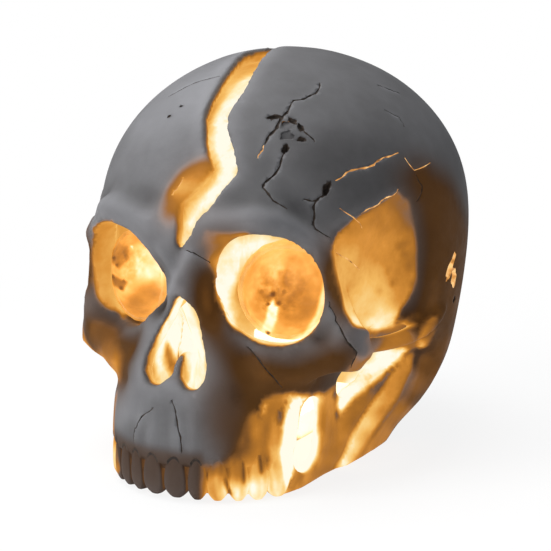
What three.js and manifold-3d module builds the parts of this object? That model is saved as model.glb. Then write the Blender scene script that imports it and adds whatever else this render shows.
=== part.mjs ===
// Light-up skull decoration without a lower jaw: a hollow resin casting with a cracked
// crown, lit from inside by a small battery lamp that stands on a cover in its flat base.
// Millimetres, Z up, the face looks along -Y, the tooth tips and the base rim stand on Z = 0.
import * as THREE from 'three';
import { mergeVertices } from 'three/addons/utils/BufferGeometryUtils.js';
import Module from 'manifold-3d';

const wasm = await Module();
wasm.setup();

// Head: the vault, the lower back and the foot that it stands on
const SKULL_HEIGHT = 167;
const VAULT_LINE = 3;
const VAULT_HALF_WIDTH = 74.5;
const VAULT_HALF_LENGTH = 87;
const VAULT_HALF_HEIGHT = 68;
const NAPE_HALF_WIDTH = 69;
const NAPE_HALF_LENGTH = 60;
const NAPE_HALF_HEIGHT = 72;
const NAPE_HEIGHT = 61;
const NAPE_SET_BACK = 12;
const NAPE_BLEND = 16;
const FOOT_HALF_WIDTH = 45;
const FOOT_HALF_LENGTH = 66;
const FOOT_HALF_HEIGHT = 30;
const FOOT_HEIGHT = 4;
const FOOT_SET_FORWARD = 13;
const FOOT_BLEND = 8;
const WALL = 5;
const SOLE = 8;

// Upper jaw
const JAW_HALF_WIDTH = 44;
const JAW_HALF_LENGTH = 44;
const JAW_HALF_HEIGHT = 62;
const JAW_HEIGHT = 24;
const JAW_SET_FORWARD = 51;
const JAW_SLOPE = 0.17;
const JAW_BLEND = 12;

// Hollows of one side: the temple, the jowl under the cheek arch, the eye and its inner corner
const TEMPLE_DEPTH = 18;
const TEMPLE_CLEAR = 8;
const TEMPLE_LINE = -33;
const TEMPLE_LEVEL = 86;
const TEMPLE_HALF_LENGTH = 27;
const TEMPLE_HALF_HEIGHT = 29;
const TEMPLE_BLEND = 9;
const JOWL_SIDE = 64;
const JOWL_LINE = -26;
const JOWL_LEVEL = 36;
const JOWL_DEPTH = 22;
const JOWL_HALF_LENGTH = 30;
const JOWL_HALF_HEIGHT = 22;
const JOWL_BLEND = 8;
const EYE_SHIFT = 2;
const EYE_LINE = -89;
const EYE_HALF_WIDTH = 28;
const EYE_DEPTH = 18;
const EYE_HALF_HEIGHT = 23;
const EYE_BLEND = 6;
const TEAR_SIDE = 13.5;
const TEAR_LINE = -83;
const TEAR_DROP = 4;
const TEAR_HALF_WIDTH = 6;
const TEAR_DEPTH = 11;
const TEAR_HALF_HEIGHT = 10;
const TEAR_BLEND = 5;

// Ridges of one side: brow, cheekbone, the side of the nose and its bridge
const BROW_HEIGHT = 101;
const BROW_RADIUS = 8;
const BROW_THINNING = 3;
const BROW_BLEND = 9;
const BROW_START_SIDE = 7;
const BROW_START_LINE = -75;
const BROW_START_DROP = 2;
const BROW_PEAK_SIDE = 30;
const BROW_PEAK_LINE = -72.5;
const BROW_PEAK_RISE = 4;
const BROW_END_INSET = 8;
const BROW_END_LINE = -61;
const BROW_END_DROP = 8;
const CHEEK_HEIGHT = 51;
const CHEEK_REACH = 57;
const CHEEK_RADIUS = 9.5;
const CHEEK_THINNING = 2;
const CHEEK_BLEND = 9;
const CHEEK_START_SIDE = 30;
const CHEEK_START_LINE = -67;
const RIGHT_CHEEK_DROP = 6;
const CORNER_LINE = -53;
const CORNER_RISE = 5;
const CORNER_RADIUS = 7;
const CORNER_BLEND = 5;
const NOSE_FOOT_SIDE = 13;
const NOSE_FOOT_LINE = -77;
const NOSE_FOOT_RISE = 4;
const NOSE_FOOT_RADIUS = 9;
const NOSE_ROOT_SIDE = 8;
const NOSE_ROOT_LINE = -70;
const NOSE_ROOT_RISE = 8;
const NOSE_ROOT_RADIUS = 6;
const NOSE_BLEND = 8;
const BRIDGE_TOP_LINE = -71;
const BRIDGE_TOP_DROP = 6;
const BRIDGE_TOP_RADIUS = 6;
const BRIDGE_END_LINE = -76.5;
const BRIDGE_END_RADIUS = 6.5;
const BRIDGE_BLEND = 6;

// Cheek arch: its oval section, and its route past the cheek, along Y and above its level
const ARCH_DEPTH = 10;
const ARCH_THICKNESS = 6;
const ARCH_LEVEL = 57;
const ARCH_ROUTE = [[-4, -54, -1], [8, -38, -1], [12, -18, 0], [11, 3, 4], [6, 14, 7]];

// Eye hole, with its flare as rows of scale and depth
const ORBIT_WIDTH = 41;
const ORBIT_HEIGHT = 43;
const ORBIT_SPACING = 63;
const ORBIT_LINE = -68;
const ORBIT_LEVEL = 79.5;
const ORBIT_TURN = 20;
const ORBIT_FLARE = [[1.1, 40], [1.02, 6], [0.98, -3], [1.1, -10], [1.1, -26]];

// Nose hole, half of its outline in shares of its size from the top down, and the spur in it
const NOSE_WIDTH = 28;
const NOSE_TOP = 77;
const NOSE_FLOOR = 41;
const NOSE_BACK = -60;
const NOSE_OUTLINE = [
  [0.32, 0.86], [0.68, 0.58], [0.95, 0.3], [0.98, 0.14], [0.75, 0.02], [0.45, 0.01], [0.15, 0.12],
];
const SPUR_THICKNESS = 2.6;
const SPUR_OUTLINE = [[-88, -1], [-85, 9], [-79, 13], [-70, 11], [-76, 1], [-83, -4]];

// Holes low in the side: an upright slot behind the teeth and a slanted window
const SLOT_WIDTH = 18;
const SLOT_HEIGHT = 30;
const SLOT_LEAN = 14;
const SLOT_LINE = -56;
const SLOT_LEVEL = 21;
const SLOT_OUTER = 70;
const WINDOW_WIDTH = 12;
const WINDOW_LENGTH = 31;
const WINDOW_SLANT = 32;
const WINDOW_LINE = -16;
const WINDOW_LEVEL = 39;
const WINDOW_OUTER = 61;
const HOLE_INNER = 22;

// Crack over the crown: degrees above the brow, then its left and right edge
const CRACK = [
  [-6, -1.5, -0.5], [1, 0.5, 7], [8, 0, 13], [17.5, 11, 21], [30, 1.5, 11], [34, -0.8, 9],
  [44, -2.5, 9.6], [55, -4.7, 6.8], [63, -7, 4], [75, -11, 0], [88, -12.5, -4], [104, -9, -7.5],
];

// Eye cups
const CUP_RADIUS = 19.5;
const CUP_WALL = 1.8;
const CUP_SHIFT = 5;
const CUP_SET_BACK = 11;
const CUP_DROP = 2.5;

// Teeth of one side, from the middle backwards, and the end of the row in radians round the jaw
const GUM_HEIGHT = 14;
const TOOTH_DEPTH = 8;
const TOOTH_RISE = 1.5;
const TOOTH_BELLY = 7;
const TOOTH_NECK = 11;
const TOOTH_ROOT = 4;
const TOOTH_WIDTHS = [9.2, 7, 7.8, 7.4, 7.4, 9.6];
const TOOTH_SWEEP = 1.12;

// Fits: between seated pieces, and round pieces that move
const SEAT_GAP = 0.3;
const SLIDE_GAP = 0.4;

// Base cover with its battery box, switch bay and lamp post
const COVER_WIDTH = 62;
const COVER_LENGTH = 84;
const COVER_CORNER = 24;
const COVER_THICKNESS = 3;
const COVER_RECESS = 1.2;
const COVER_CENTRE = 3;
const OPENING_CORNER = 4;
const SCREW_STEP = 30;
const BOX_WALL = 1.6;
const BOX_SIDE_ROOM = 1.5;
const BOX_END_ROOM = 1;
const SWITCH_BAY = 12.1;
const RIB_THICKNESS = 1.2;
const RIB_HEIGHT = 4;
const POST_RADIUS = 13;
const POST_BORE = 8;
const POST_FLANGE = 17.5;
const POST_TOP = 44;
const FLANGE_THICKNESS = 2;
const FLANGE_FLARE = 1;

// Cells, contacts and door
const CELL_DIAMETER = 10.5;
const CELL_LENGTH = 44.5;
const CELL_ROOM = 0.8;
const CELL_EDGE = 0.6;
const CELLS = 3;
const BUTTON_RADIUS = 1.9;
const BUTTON_HEIGHT = 1;
const SPRING_LENGTH = 5.4;
const SPRING_CURLS = 4;
const SPRING_WIRE = 0.6;
const SPRING_RADIUS = 3.6;
const CONTACT_SIZE = 7;
const CONTACT_THICKNESS = 0.6;
const DOOR_THICKNESS = 1.8;
const DOOR_LIP = 1.6;
const PIN_RADIUS = 0.7;
const PIN_LENGTH = 1.6;
const NOTCH_RADIUS = 6;
const NOTCH_SET_BACK = 2;
const NOTCH_ROOF = 0.6;
const GRIPS = 4;
const GRIP_STEP = 3;
const GRIP_WIDTH = 1.2;
const GRIP_LENGTH = 16;
const GRIP_DEPTH = 0.5;
const GRIP_INSET = 6;

// Switch
const SWITCH_LENGTH = 14;
const SWITCH_WIDTH = 7;
const SWITCH_HEIGHT = 6;
const SWITCH_WALL = 1.2;
const SWITCH_TRAVEL = 4;
const KNOB_WIDTH = 2.4;
const KNOB_FOOT = 1.6;

// Lamp
const BOARD_RADIUS = 13;
const BOARD_THICKNESS = 1.6;
const LEDS = 3;
const LED_RADIUS = 2.5;
const LED_HEIGHT = 8.6;
const LED_CIRCLE = 6;
const LED_FLANGE = 0.4;
const LED_FLANGE_HEIGHT = 1;
const DOME_WALL = 1.6;
const DOME_STRAIGHT = 12;
const DOME_ROOM = 1;
const WIRE_RADIUS = 0.8;
const WIRE_RISE = 5;

// Screws
const SCREW_RADIUS = 1.3;
const SCREW_HEAD = 2.6;
const SCREW_HEAD_HEIGHT = 1.6;
const BASE_SCREW_LENGTH = 6.4;
const BOARD_SCREW_LENGTH = 6;
const BOARD_SCREW_CIRCLE = 10.6;
const BOARD_SCREW_RADIUS = 0.9;
const BOARD_SCREW_HEAD_HEIGHT = 1.2;
const DRIVE_WIDTH = 0.6;

// Cutters reach this far past what they cut; the skin is shot from this far out
const BEYOND = 200;
const SKIN_REACH = 170;
const SKIN_LINE = -40;
const SKIN_LEVEL = 72;

const vec = (x, y, z) => new THREE.Vector3(x, y, z);

function bare(geometry) {
  const flat = geometry.index ? geometry.toNonIndexed() : geometry.clone();
  for (const name of Object.keys(flat.attributes)) {
    if (name !== 'position') flat.deleteAttribute(name);
  }
  return mergeVertices(flat, 1e-4);
}

// Solid that can be joined and cut; a mesh wound the wrong way round is turned right side out
function solid(geometry) {
  const merged = bare(geometry);
  const corners = merged.attributes.position;
  const source = merged.index.array;
  const index = [];
  const at = [vec(0, 0, 0), vec(0, 0, 0), vec(0, 0, 0)];
  let volume = 0;
  for (let i = 0; i < source.length; i += 3) {
    const [a, b, c] = [source[i], source[i + 1], source[i + 2]];
    if (a === b || b === c || c === a) continue;
    index.push(a, b, c);
    [a, b, c].forEach((corner, k) => at[k].fromBufferAttribute(corners, corner));
    volume += at[0].dot(at[1].clone().cross(at[2]));
  }
  if (volume < 0) index.reverse();
  return new wasm.Manifold(new wasm.Mesh({
    numProp: 3,
    vertProperties: new Float32Array(corners.array),
    triVerts: new Uint32Array(index),
  }));
}

function geometryOf(body) {
  const mesh = body.getMesh();
  const geometry = new THREE.BufferGeometry();
  geometry.setAttribute('position', new THREE.BufferAttribute(new Float32Array(mesh.vertProperties), 3));
  geometry.setIndex(new THREE.BufferAttribute(new Uint32Array(mesh.triVerts), 1));
  return geometry;
}

// Closed body through a row of rings that all have the same number of points
function loft(rings) {
  const count = rings[0].length;
  const points = rings.flat();
  const ends = [rings[0], rings[rings.length - 1]].map((ring) => {
    const middle = vec(0, 0, 0);
    for (const p of ring) middle.addScaledVector(p, 1 / count);
    return middle;
  });
  const first = points.length;
  points.push(...ends);
  const index = [];
  for (let r = 0; r + 1 < rings.length; r += 1) {
    for (let i = 0; i < count; i += 1) {
      const a = r * count + i;
      const b = r * count + (i + 1) % count;
      index.push(a, b, b + count, a, b + count, a + count);
    }
  }
  const last = (rings.length - 1) * count;
  for (let i = 0; i < count; i += 1) {
    const j = (i + 1) % count;
    index.push(first, j, i, first + 1, last + i, last + j);
  }
  const geometry = new THREE.BufferGeometry().setFromPoints(points);
  geometry.setIndex(index);
  return geometry;
}

function box(x0, x1, y0, y1, z0, z1) {
  const geometry = new THREE.BoxGeometry(x1 - x0, y1 - y0, z1 - z0);
  geometry.translate((x0 + x1) / 2, (y0 + y1) / 2, (z0 + z1) / 2);
  return solid(geometry);
}

function mirrored(geometry) {
  return geometry.clone().scale(-1, 1, 1);
}

// Distance fields of the skull's masses
function ellipsoid(p, centre, radii) {
  const q = p.clone().sub(centre).divide(radii);
  const k0 = q.length();
  const k1 = q.divide(radii).length();
  return k1 < 1e-9 ? -Math.min(radii.x, radii.y, radii.z) : k0 * (k0 - 1) / k1;
}

function capsule(p, from, to, radiusFrom, radiusTo) {
  const along = to.clone().sub(from);
  const t = THREE.MathUtils.clamp(p.clone().sub(from).dot(along) / along.lengthSq(), 0, 1);
  const radius = THREE.MathUtils.lerp(radiusFrom, radiusTo, t);
  return p.distanceTo(from.clone().addScaledVector(along, t)) - radius;
}

function join(a, b, blend) {
  const h = THREE.MathUtils.clamp(0.5 + 0.5 * (b - a) / blend, 0, 1);
  return THREE.MathUtils.lerp(b, a, h) - blend * h * (1 - h);
}

function carve(a, b, blend) {
  return -join(-a, b, blend);
}

const VAULT_CENTRE = vec(0, VAULT_LINE, SKULL_HEIGHT - VAULT_HALF_HEIGHT);
const VAULT_RADII = vec(VAULT_HALF_WIDTH, VAULT_HALF_LENGTH, VAULT_HALF_HEIGHT);
const NAPE_CENTRE = vec(0, VAULT_LINE + NAPE_SET_BACK, NAPE_HEIGHT);
const NAPE_RADII = vec(NAPE_HALF_WIDTH, NAPE_HALF_LENGTH, NAPE_HALF_HEIGHT);
const JAW_CENTRE = vec(0, VAULT_LINE - JAW_SET_FORWARD, JAW_HEIGHT);
const JAW_RADII = vec(JAW_HALF_WIDTH, JAW_HALF_LENGTH, JAW_HALF_HEIGHT);
const FOOT_CENTRE = vec(0, VAULT_LINE - FOOT_SET_FORWARD, FOOT_HEIGHT);
const FOOT_RADII = vec(FOOT_HALF_WIDTH, FOOT_HALF_LENGTH, FOOT_HALF_HEIGHT);
const TEMPLE_CENTRE = vec(VAULT_HALF_WIDTH + TEMPLE_CLEAR, TEMPLE_LINE, TEMPLE_LEVEL);
const TEMPLE_RADII = vec(TEMPLE_DEPTH + TEMPLE_CLEAR, TEMPLE_HALF_LENGTH, TEMPLE_HALF_HEIGHT);
const JOWL_CENTRE = vec(JOWL_SIDE, JOWL_LINE, JOWL_LEVEL);
const JOWL_RADII = vec(JOWL_DEPTH, JOWL_HALF_LENGTH, JOWL_HALF_HEIGHT);

function massField(p) {
  let d = ellipsoid(p, VAULT_CENTRE, VAULT_RADII);
  d = join(d, ellipsoid(p, NAPE_CENTRE, NAPE_RADII), NAPE_BLEND);
  const leaned = vec(p.x, p.y + JAW_SLOPE * (NOSE_FLOOR - p.z), p.z);
  d = join(d, ellipsoid(leaned, JAW_CENTRE, JAW_RADII), JAW_BLEND);
  d = carve(d, ellipsoid(p, TEMPLE_CENTRE, TEMPLE_RADII), TEMPLE_BLEND);
  d = carve(d, ellipsoid(p, JOWL_CENTRE, JOWL_RADII), JOWL_BLEND);
  return join(d, ellipsoid(p, FOOT_CENTRE, FOOT_RADII), FOOT_BLEND);
}

const ORBIT_CENTRE = vec(ORBIT_SPACING / 2, ORBIT_LINE, ORBIT_LEVEL);
const EYE_CENTRE = vec(ORBIT_CENTRE.x + EYE_SHIFT, EYE_LINE, ORBIT_LEVEL);
const EYE_RADII = vec(EYE_HALF_WIDTH, EYE_DEPTH, EYE_HALF_HEIGHT);
const TEAR_CENTRE = vec(TEAR_SIDE, TEAR_LINE, ORBIT_LEVEL - TEAR_DROP);
const TEAR_RADII = vec(TEAR_HALF_WIDTH, TEAR_DEPTH, TEAR_HALF_HEIGHT);
const BROW_START = vec(BROW_START_SIDE, BROW_START_LINE, BROW_HEIGHT - BROW_START_DROP);
const BROW_PEAK = vec(BROW_PEAK_SIDE, BROW_PEAK_LINE, BROW_HEIGHT + BROW_PEAK_RISE);
const BROW_END = vec(CHEEK_REACH - BROW_END_INSET, BROW_END_LINE, BROW_HEIGHT - BROW_END_DROP);
const BROW_END_RADIUS = BROW_RADIUS - BROW_THINNING;
const NOSE_FOOT = vec(NOSE_FOOT_SIDE, NOSE_FOOT_LINE, NOSE_FLOOR + NOSE_FOOT_RISE);
const NOSE_ROOT = vec(NOSE_ROOT_SIDE, NOSE_ROOT_LINE, NOSE_TOP + NOSE_ROOT_RISE);
const BRIDGE_TOP = vec(0, BRIDGE_TOP_LINE, BROW_HEIGHT - BRIDGE_TOP_DROP);
const BRIDGE_END = vec(0, BRIDGE_END_LINE, NOSE_TOP);

// The masses with the face's hollows and ridges; the two sides differ only in the cheekbone
function skinField(point) {
  const p = vec(Math.abs(point.x), point.y, point.z);
  const level = CHEEK_HEIGHT - (point.x < 0 ? RIGHT_CHEEK_DROP : 0);
  const start = vec(CHEEK_START_SIDE, CHEEK_START_LINE, level);
  const corner = vec(CHEEK_REACH, CORNER_LINE, level + CORNER_RISE);
  let d = carve(massField(p), ellipsoid(p, EYE_CENTRE, EYE_RADII), EYE_BLEND);
  d = join(d, capsule(p, BROW_START, BROW_PEAK, BROW_RADIUS, BROW_RADIUS), BROW_BLEND);
  d = join(d, capsule(p, BROW_PEAK, BROW_END, BROW_RADIUS, BROW_END_RADIUS), BROW_BLEND);
  d = join(d, capsule(p, BROW_END, corner, BROW_END_RADIUS, CORNER_RADIUS), CORNER_BLEND);
  d = join(d, capsule(p, start, corner, CHEEK_RADIUS, CHEEK_RADIUS - CHEEK_THINNING), CHEEK_BLEND);
  d = join(d, capsule(p, NOSE_FOOT, NOSE_ROOT, NOSE_FOOT_RADIUS, NOSE_ROOT_RADIUS), NOSE_BLEND);
  d = carve(d, ellipsoid(p, TEAR_CENTRE, TEAR_RADII), TEAR_BLEND);
  const bridge = capsule(p, BRIDGE_TOP, BRIDGE_END, BRIDGE_TOP_RADIUS, BRIDGE_END_RADIUS);
  return join(d, bridge, BRIDGE_BLEND);
}

// Star-shaped skin of a field, sampled on rings about an axis that points out of the face
const SKIN_CENTRE = vec(0, SKIN_LINE, SKIN_LEVEL);

function skin(field, offset, faceRings, backRings, spokes) {
  const spread = THREE.MathUtils.degToRad(100);
  const angles = [];
  for (let i = 1; i <= faceRings; i += 1) angles.push(spread * i / faceRings);
  for (let i = 1; i < backRings; i += 1) angles.push(spread + (Math.PI - spread) * i / backRings);
  const shoot = (dir) => {
    let t = SKIN_REACH;
    for (let i = 0; i < 200; i += 1) {
      const d = field(SKIN_CENTRE.clone().addScaledVector(dir, t)) + offset;
      if (d < 0.01) break;
      t -= 0.6 * d;
    }
    return SKIN_CENTRE.clone().addScaledVector(dir, t);
  };
  const points = [shoot(vec(0, -1, 0))];
  for (const angle of angles) {
    for (let i = 0; i < spokes; i += 1) {
      const turn = 2 * Math.PI * i / spokes;
      const side = Math.sin(angle);
      points.push(shoot(vec(side * Math.sin(turn), -Math.cos(angle), side * Math.cos(turn))));
    }
  }
  points.push(shoot(vec(0, 1, 0)));
  const index = [];
  const end = points.length - 1;
  const start = end - spokes;
  for (let i = 0; i < spokes; i += 1) {
    const j = (i + 1) % spokes;
    index.push(0, 1 + j, 1 + i, end, start + i, start + j);
    for (let r = 0; r + 1 < angles.length; r += 1) {
      const a = 1 + r * spokes + i;
      const b = 1 + r * spokes + j;
      index.push(a, b, b + spokes, a, b + spokes, a + spokes);
    }
  }
  const geometry = new THREE.BufferGeometry().setFromPoints(points);
  geometry.setIndex(index);
  return geometry;
}

const outside = solid(skin(skinField, 0, 29, 11, 58));
const coreField = (p) => massField(vec(Math.abs(p.x), p.y, p.z));
const cavity = solid(skin(coreField, WALL, 12, 8, 36));
const below = (level) => box(-BEYOND, BEYOND, -BEYOND, BEYOND, -BEYOND, level);

// Cheek arch: an oval bar from the cheekbone to the side wall in front of the ear
function cheekArch() {
  const path = new THREE.CatmullRomCurve3(
    ARCH_ROUTE.map(([past, y, above]) => vec(CHEEK_REACH + past, y, ARCH_LEVEL + above)),
  );
  const oval = new THREE.Shape();
  oval.absellipse(0, 0, ARCH_THICKNESS / 2, ARCH_DEPTH / 2, 0, 2 * Math.PI);
  const options = { extrudePath: path, steps: 12, curveSegments: 5, bevelEnabled: false };
  return new THREE.ExtrudeGeometry(oval, options);
}

function orbitRing(scale, depth) {
  const turn = THREE.MathUtils.degToRad(ORBIT_TURN);
  const across = vec(Math.cos(turn), Math.sin(turn), -0.1);
  const outward = vec(Math.sin(turn), -Math.cos(turn), 0);
  const ring = [];
  for (let i = 0; i < 28; i += 1) {
    const angle = 2 * Math.PI * i / 28;
    const round = (v) => Math.sign(v) * Math.abs(v) ** 0.88;
    const point = ORBIT_CENTRE.clone().addScaledVector(outward, depth);
    point.addScaledVector(across, scale * round(Math.cos(angle)) * ORBIT_WIDTH / 2);
    point.z += scale * round(Math.sin(angle)) * ORBIT_HEIGHT / 2;
    ring.push(point);
  }
  return ring;
}

function noseShape() {
  const half = NOSE_WIDTH / 2;
  const tall = NOSE_TOP - NOSE_FLOOR;
  const point = (x, z) => new THREE.Vector2(x * half, NOSE_FLOOR + z * tall);
  const down = NOSE_OUTLINE.map(([x, z]) => point(-x, z));
  const up = NOSE_OUTLINE.map(([x, z]) => point(x, z)).reverse();
  return new THREE.Shape([point(0, 1), ...down, ...up]);
}

function crackCutter() {
  const rings = CRACK.map(([degrees, left, right]) => {
    const angle = THREE.MathUtils.degToRad(degrees);
    const way = vec(0, -Math.cos(angle), Math.sin(angle));
    const reach = 1 / Math.hypot(way.y / VAULT_HALF_LENGTH, way.z / VAULT_HALF_HEIGHT);
    const inner = VAULT_CENTRE.clone().addScaledVector(way, reach - 3 * WALL);
    const outer = VAULT_CENTRE.clone().addScaledVector(way, reach + 3 * WALL);
    const side = (point, x) => vec(x, point.y, point.z);
    return [side(inner, left), side(inner, right), side(outer, right), side(outer, left)];
  });
  return loft(rings);
}

// Long rounded hole through the side wall, cut along X
function sideHole(width, length, lean, y, z, from, to) {
  const shape = new THREE.Shape();
  const straight = (length - width) / 2;
  shape.absarc(0, straight, width / 2, 0, Math.PI, false);
  shape.absarc(0, -straight, width / 2, Math.PI, 2 * Math.PI, false);
  const options = { depth: to - from, curveSegments: 6, bevelEnabled: false };
  const geometry = new THREE.ExtrudeGeometry(shape, options);
  geometry.rotateZ(THREE.MathUtils.degToRad(-lean));
  geometry.rotateX(Math.PI / 2);
  geometry.rotateZ(Math.PI / 2);
  geometry.translate(from, y, z);
  return geometry;
}

const bothSides = (geometry) => solid(geometry).add(solid(mirrored(geometry)));

// Teeth stand along the jaw's outline at the height of the gum
function archPoint(angle) {
  const level = Math.sqrt(1 - ((GUM_HEIGHT - JAW_HEIGHT) / JAW_HALF_HEIGHT) ** 2);
  const forward = JAW_CENTRE.y - JAW_SLOPE * (NOSE_FLOOR - GUM_HEIGHT);
  const inset = TOOTH_DEPTH / 2;
  const x = (JAW_HALF_WIDTH * level - inset) * Math.sin(angle);
  return vec(x, forward - (JAW_HALF_LENGTH * level - inset) * Math.cos(angle), 0);
}

function toothRing(spot, ahead, z, halfWidth, halfDepth) {
  const ring = [];
  for (let i = 0; i < 10; i += 1) {
    const angle = 2 * Math.PI * (i + 0.5) / 10;
    const along = halfWidth * Math.sign(Math.cos(angle)) * Math.abs(Math.cos(angle)) ** 0.7;
    const out = halfDepth * Math.sin(angle);
    ring.push(vec(spot.x + ahead.x * along + ahead.y * out, spot.y + ahead.y * along - ahead.x * out, z));
  }
  return ring;
}

function teeth() {
  const bodies = [];
  let walked = 0;
  let angle = 0;
  for (const width of TOOTH_WIDTHS) {
    const middle = walked + width / 2;
    let length = walked;
    let spot = archPoint(angle);
    while (length < middle) {
      angle += 0.002;
      const next = archPoint(angle);
      length += next.distanceTo(spot);
      spot = next;
    }
    const ahead = archPoint(angle + 0.01).sub(spot).normalize();
    const tip = TOOTH_RISE * Math.max(0, (Math.cos(angle) - 0.4) / 0.6);
    const rings = [[tip, 0.5, 0.45], [tip + 0.8, 0.74, 0.68], [tip + 3, 0.95, 0.9]];
    rings.push([TOOTH_BELLY, 1.02, 1], [TOOTH_NECK, 0.98, 1], [GUM_HEIGHT + TOOTH_ROOT, 0.7, 0.7]);
    const [half, thick] = [width / 2, TOOTH_DEPTH / 2];
    bodies.push(loft(rings.map(([z, wide, deep]) => toothRing(spot, ahead, z, wide * half, deep * thick))));
    while (length < walked + width) {
      angle += 0.002;
      const next = archPoint(angle);
      length += next.distanceTo(spot);
      spot = next;
    }
    walked += width;
  }
  return bodies;
}

// Casting: skin, cheek arches and teeth, hollowed, then the openings are cut
const TEETH_END = archPoint(TOOTH_SWEEP).y;
const ORBIT_WAY = THREE.MathUtils.degToRad(ORBIT_TURN);
const ORBIT_OUT = vec(Math.sin(ORBIT_WAY), -Math.cos(ORBIT_WAY), 0);
const ORBIT_ACROSS = vec(Math.cos(ORBIT_WAY), Math.sin(ORBIT_WAY), 0);
const LEDGE_LEVEL = COVER_RECESS + COVER_THICKNESS + SEAT_GAP;

function plateShape(width, length, corner) {
  const [w, l] = [width / 2, length / 2];
  const shape = new THREE.Shape();
  shape.absarc(w - corner, l - corner, corner, 0, Math.PI / 2, false);
  shape.absarc(corner - w, l - corner, corner, Math.PI / 2, Math.PI, false);
  shape.absarc(corner - w, corner - l, corner, Math.PI, 1.5 * Math.PI, false);
  shape.absarc(w - corner, corner - l, corner, 1.5 * Math.PI, 2 * Math.PI, false);
  return shape;
}

function plate(width, length, corner, z0, z1) {
  const shape = plateShape(width, length, corner);
  const options = { depth: z1 - z0, curveSegments: 5, bevelEnabled: false };
  const geometry = new THREE.ExtrudeGeometry(shape, options);
  return solid(geometry.translate(0, COVER_CENTRE, z0));
}

function rod(radius, x, y, z0, z1, sides = 14) {
  const geometry = new THREE.CylinderGeometry(radius, radius, z1 - z0, sides);
  return solid(geometry.rotateX(Math.PI / 2).translate(x, y, (z0 + z1) / 2));
}

// Turned piece about the Z axis, from rows of radius and height
function turned(profile, sides, x = 0, y = 0, z = 0) {
  const points = profile.map(([radius, height]) => new THREE.Vector2(radius, height));
  return solid(new THREE.LatheGeometry(points, sides).rotateX(Math.PI / 2).translate(x, y, z));
}

// The opening over the cover lets the battery box and the switch through, and leaves a ledge
// all round for the cover to be screwed to
const WELL_WIDTH = CELLS * (CELL_DIAMETER + CELL_ROOM);
const WELL_LENGTH = CELL_LENGTH + SPRING_LENGTH + CONTACT_THICKNESS + 4 * SEAT_GAP;
const OPENING_WIDTH = WELL_WIDTH + 2 * BOX_WALL + 2 * BOX_SIDE_ROOM;
const OPENING_LENGTH = SWITCH_BAY + WELL_LENGTH + 2 * BOX_WALL + BOX_END_ROOM;
const OPENING_FRONT = COVER_CENTRE - OPENING_LENGTH / 2;
const SCREW_SIDE = (COVER_WIDTH + OPENING_WIDTH) / 4;
const SCREW_SPOTS = [[1, 1], [-1, 1], [-1, -1], [1, -1]].map(([sx, sy]) => [
  sx * SCREW_SIDE, COVER_CENTRE + sy * SCREW_STEP / 2,
]);

// Eye cup: a bowl glued into a round pocket behind the eye hole, set to the outer side
function eyeBall(radius) {
  const middle = ORBIT_CENTRE.clone().addScaledVector(ORBIT_OUT, -CUP_SET_BACK);
  middle.addScaledVector(ORBIT_ACROSS, CUP_SHIFT);
  return new THREE.SphereGeometry(radius, 18, 11).translate(middle.x, middle.y, middle.z - CUP_DROP);
}

function beforeOrbit(depth) {
  const front = new THREE.BoxGeometry(BEYOND, BEYOND, BEYOND);
  front.translate(0, -BEYOND / 2, 0).rotateZ(ORBIT_WAY);
  const mouth = ORBIT_CENTRE.clone().addScaledVector(ORBIT_OUT, -depth);
  return solid(front.translate(mouth.x, mouth.y, mouth.z));
}

function eyeCup() {
  const bowl = solid(eyeBall(CUP_RADIUS)).subtract(solid(eyeBall(CUP_RADIUS - CUP_WALL)));
  return geometryOf(bowl.subtract(beforeOrbit(CUP_SET_BACK / 2)));
}

function cupPocket() {
  const ball = solid(eyeBall(CUP_RADIUS + SEAT_GAP));
  return geometryOf(ball.subtract(beforeOrbit(CUP_SET_BACK / 2 - SEAT_GAP)));
}

function spur() {
  const outline = SPUR_OUTLINE.map(([y, above]) => new THREE.Vector2(y, NOSE_FLOOR + above));
  const shape = new THREE.Shape(outline);
  const geometry = new THREE.ExtrudeGeometry(shape, { depth: SPUR_THICKNESS, bevelEnabled: false });
  geometry.rotateX(Math.PI / 2);
  geometry.rotateZ(Math.PI / 2);
  return solid(geometry.translate(-SPUR_THICKNESS / 2, 0, 0));
}

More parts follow.
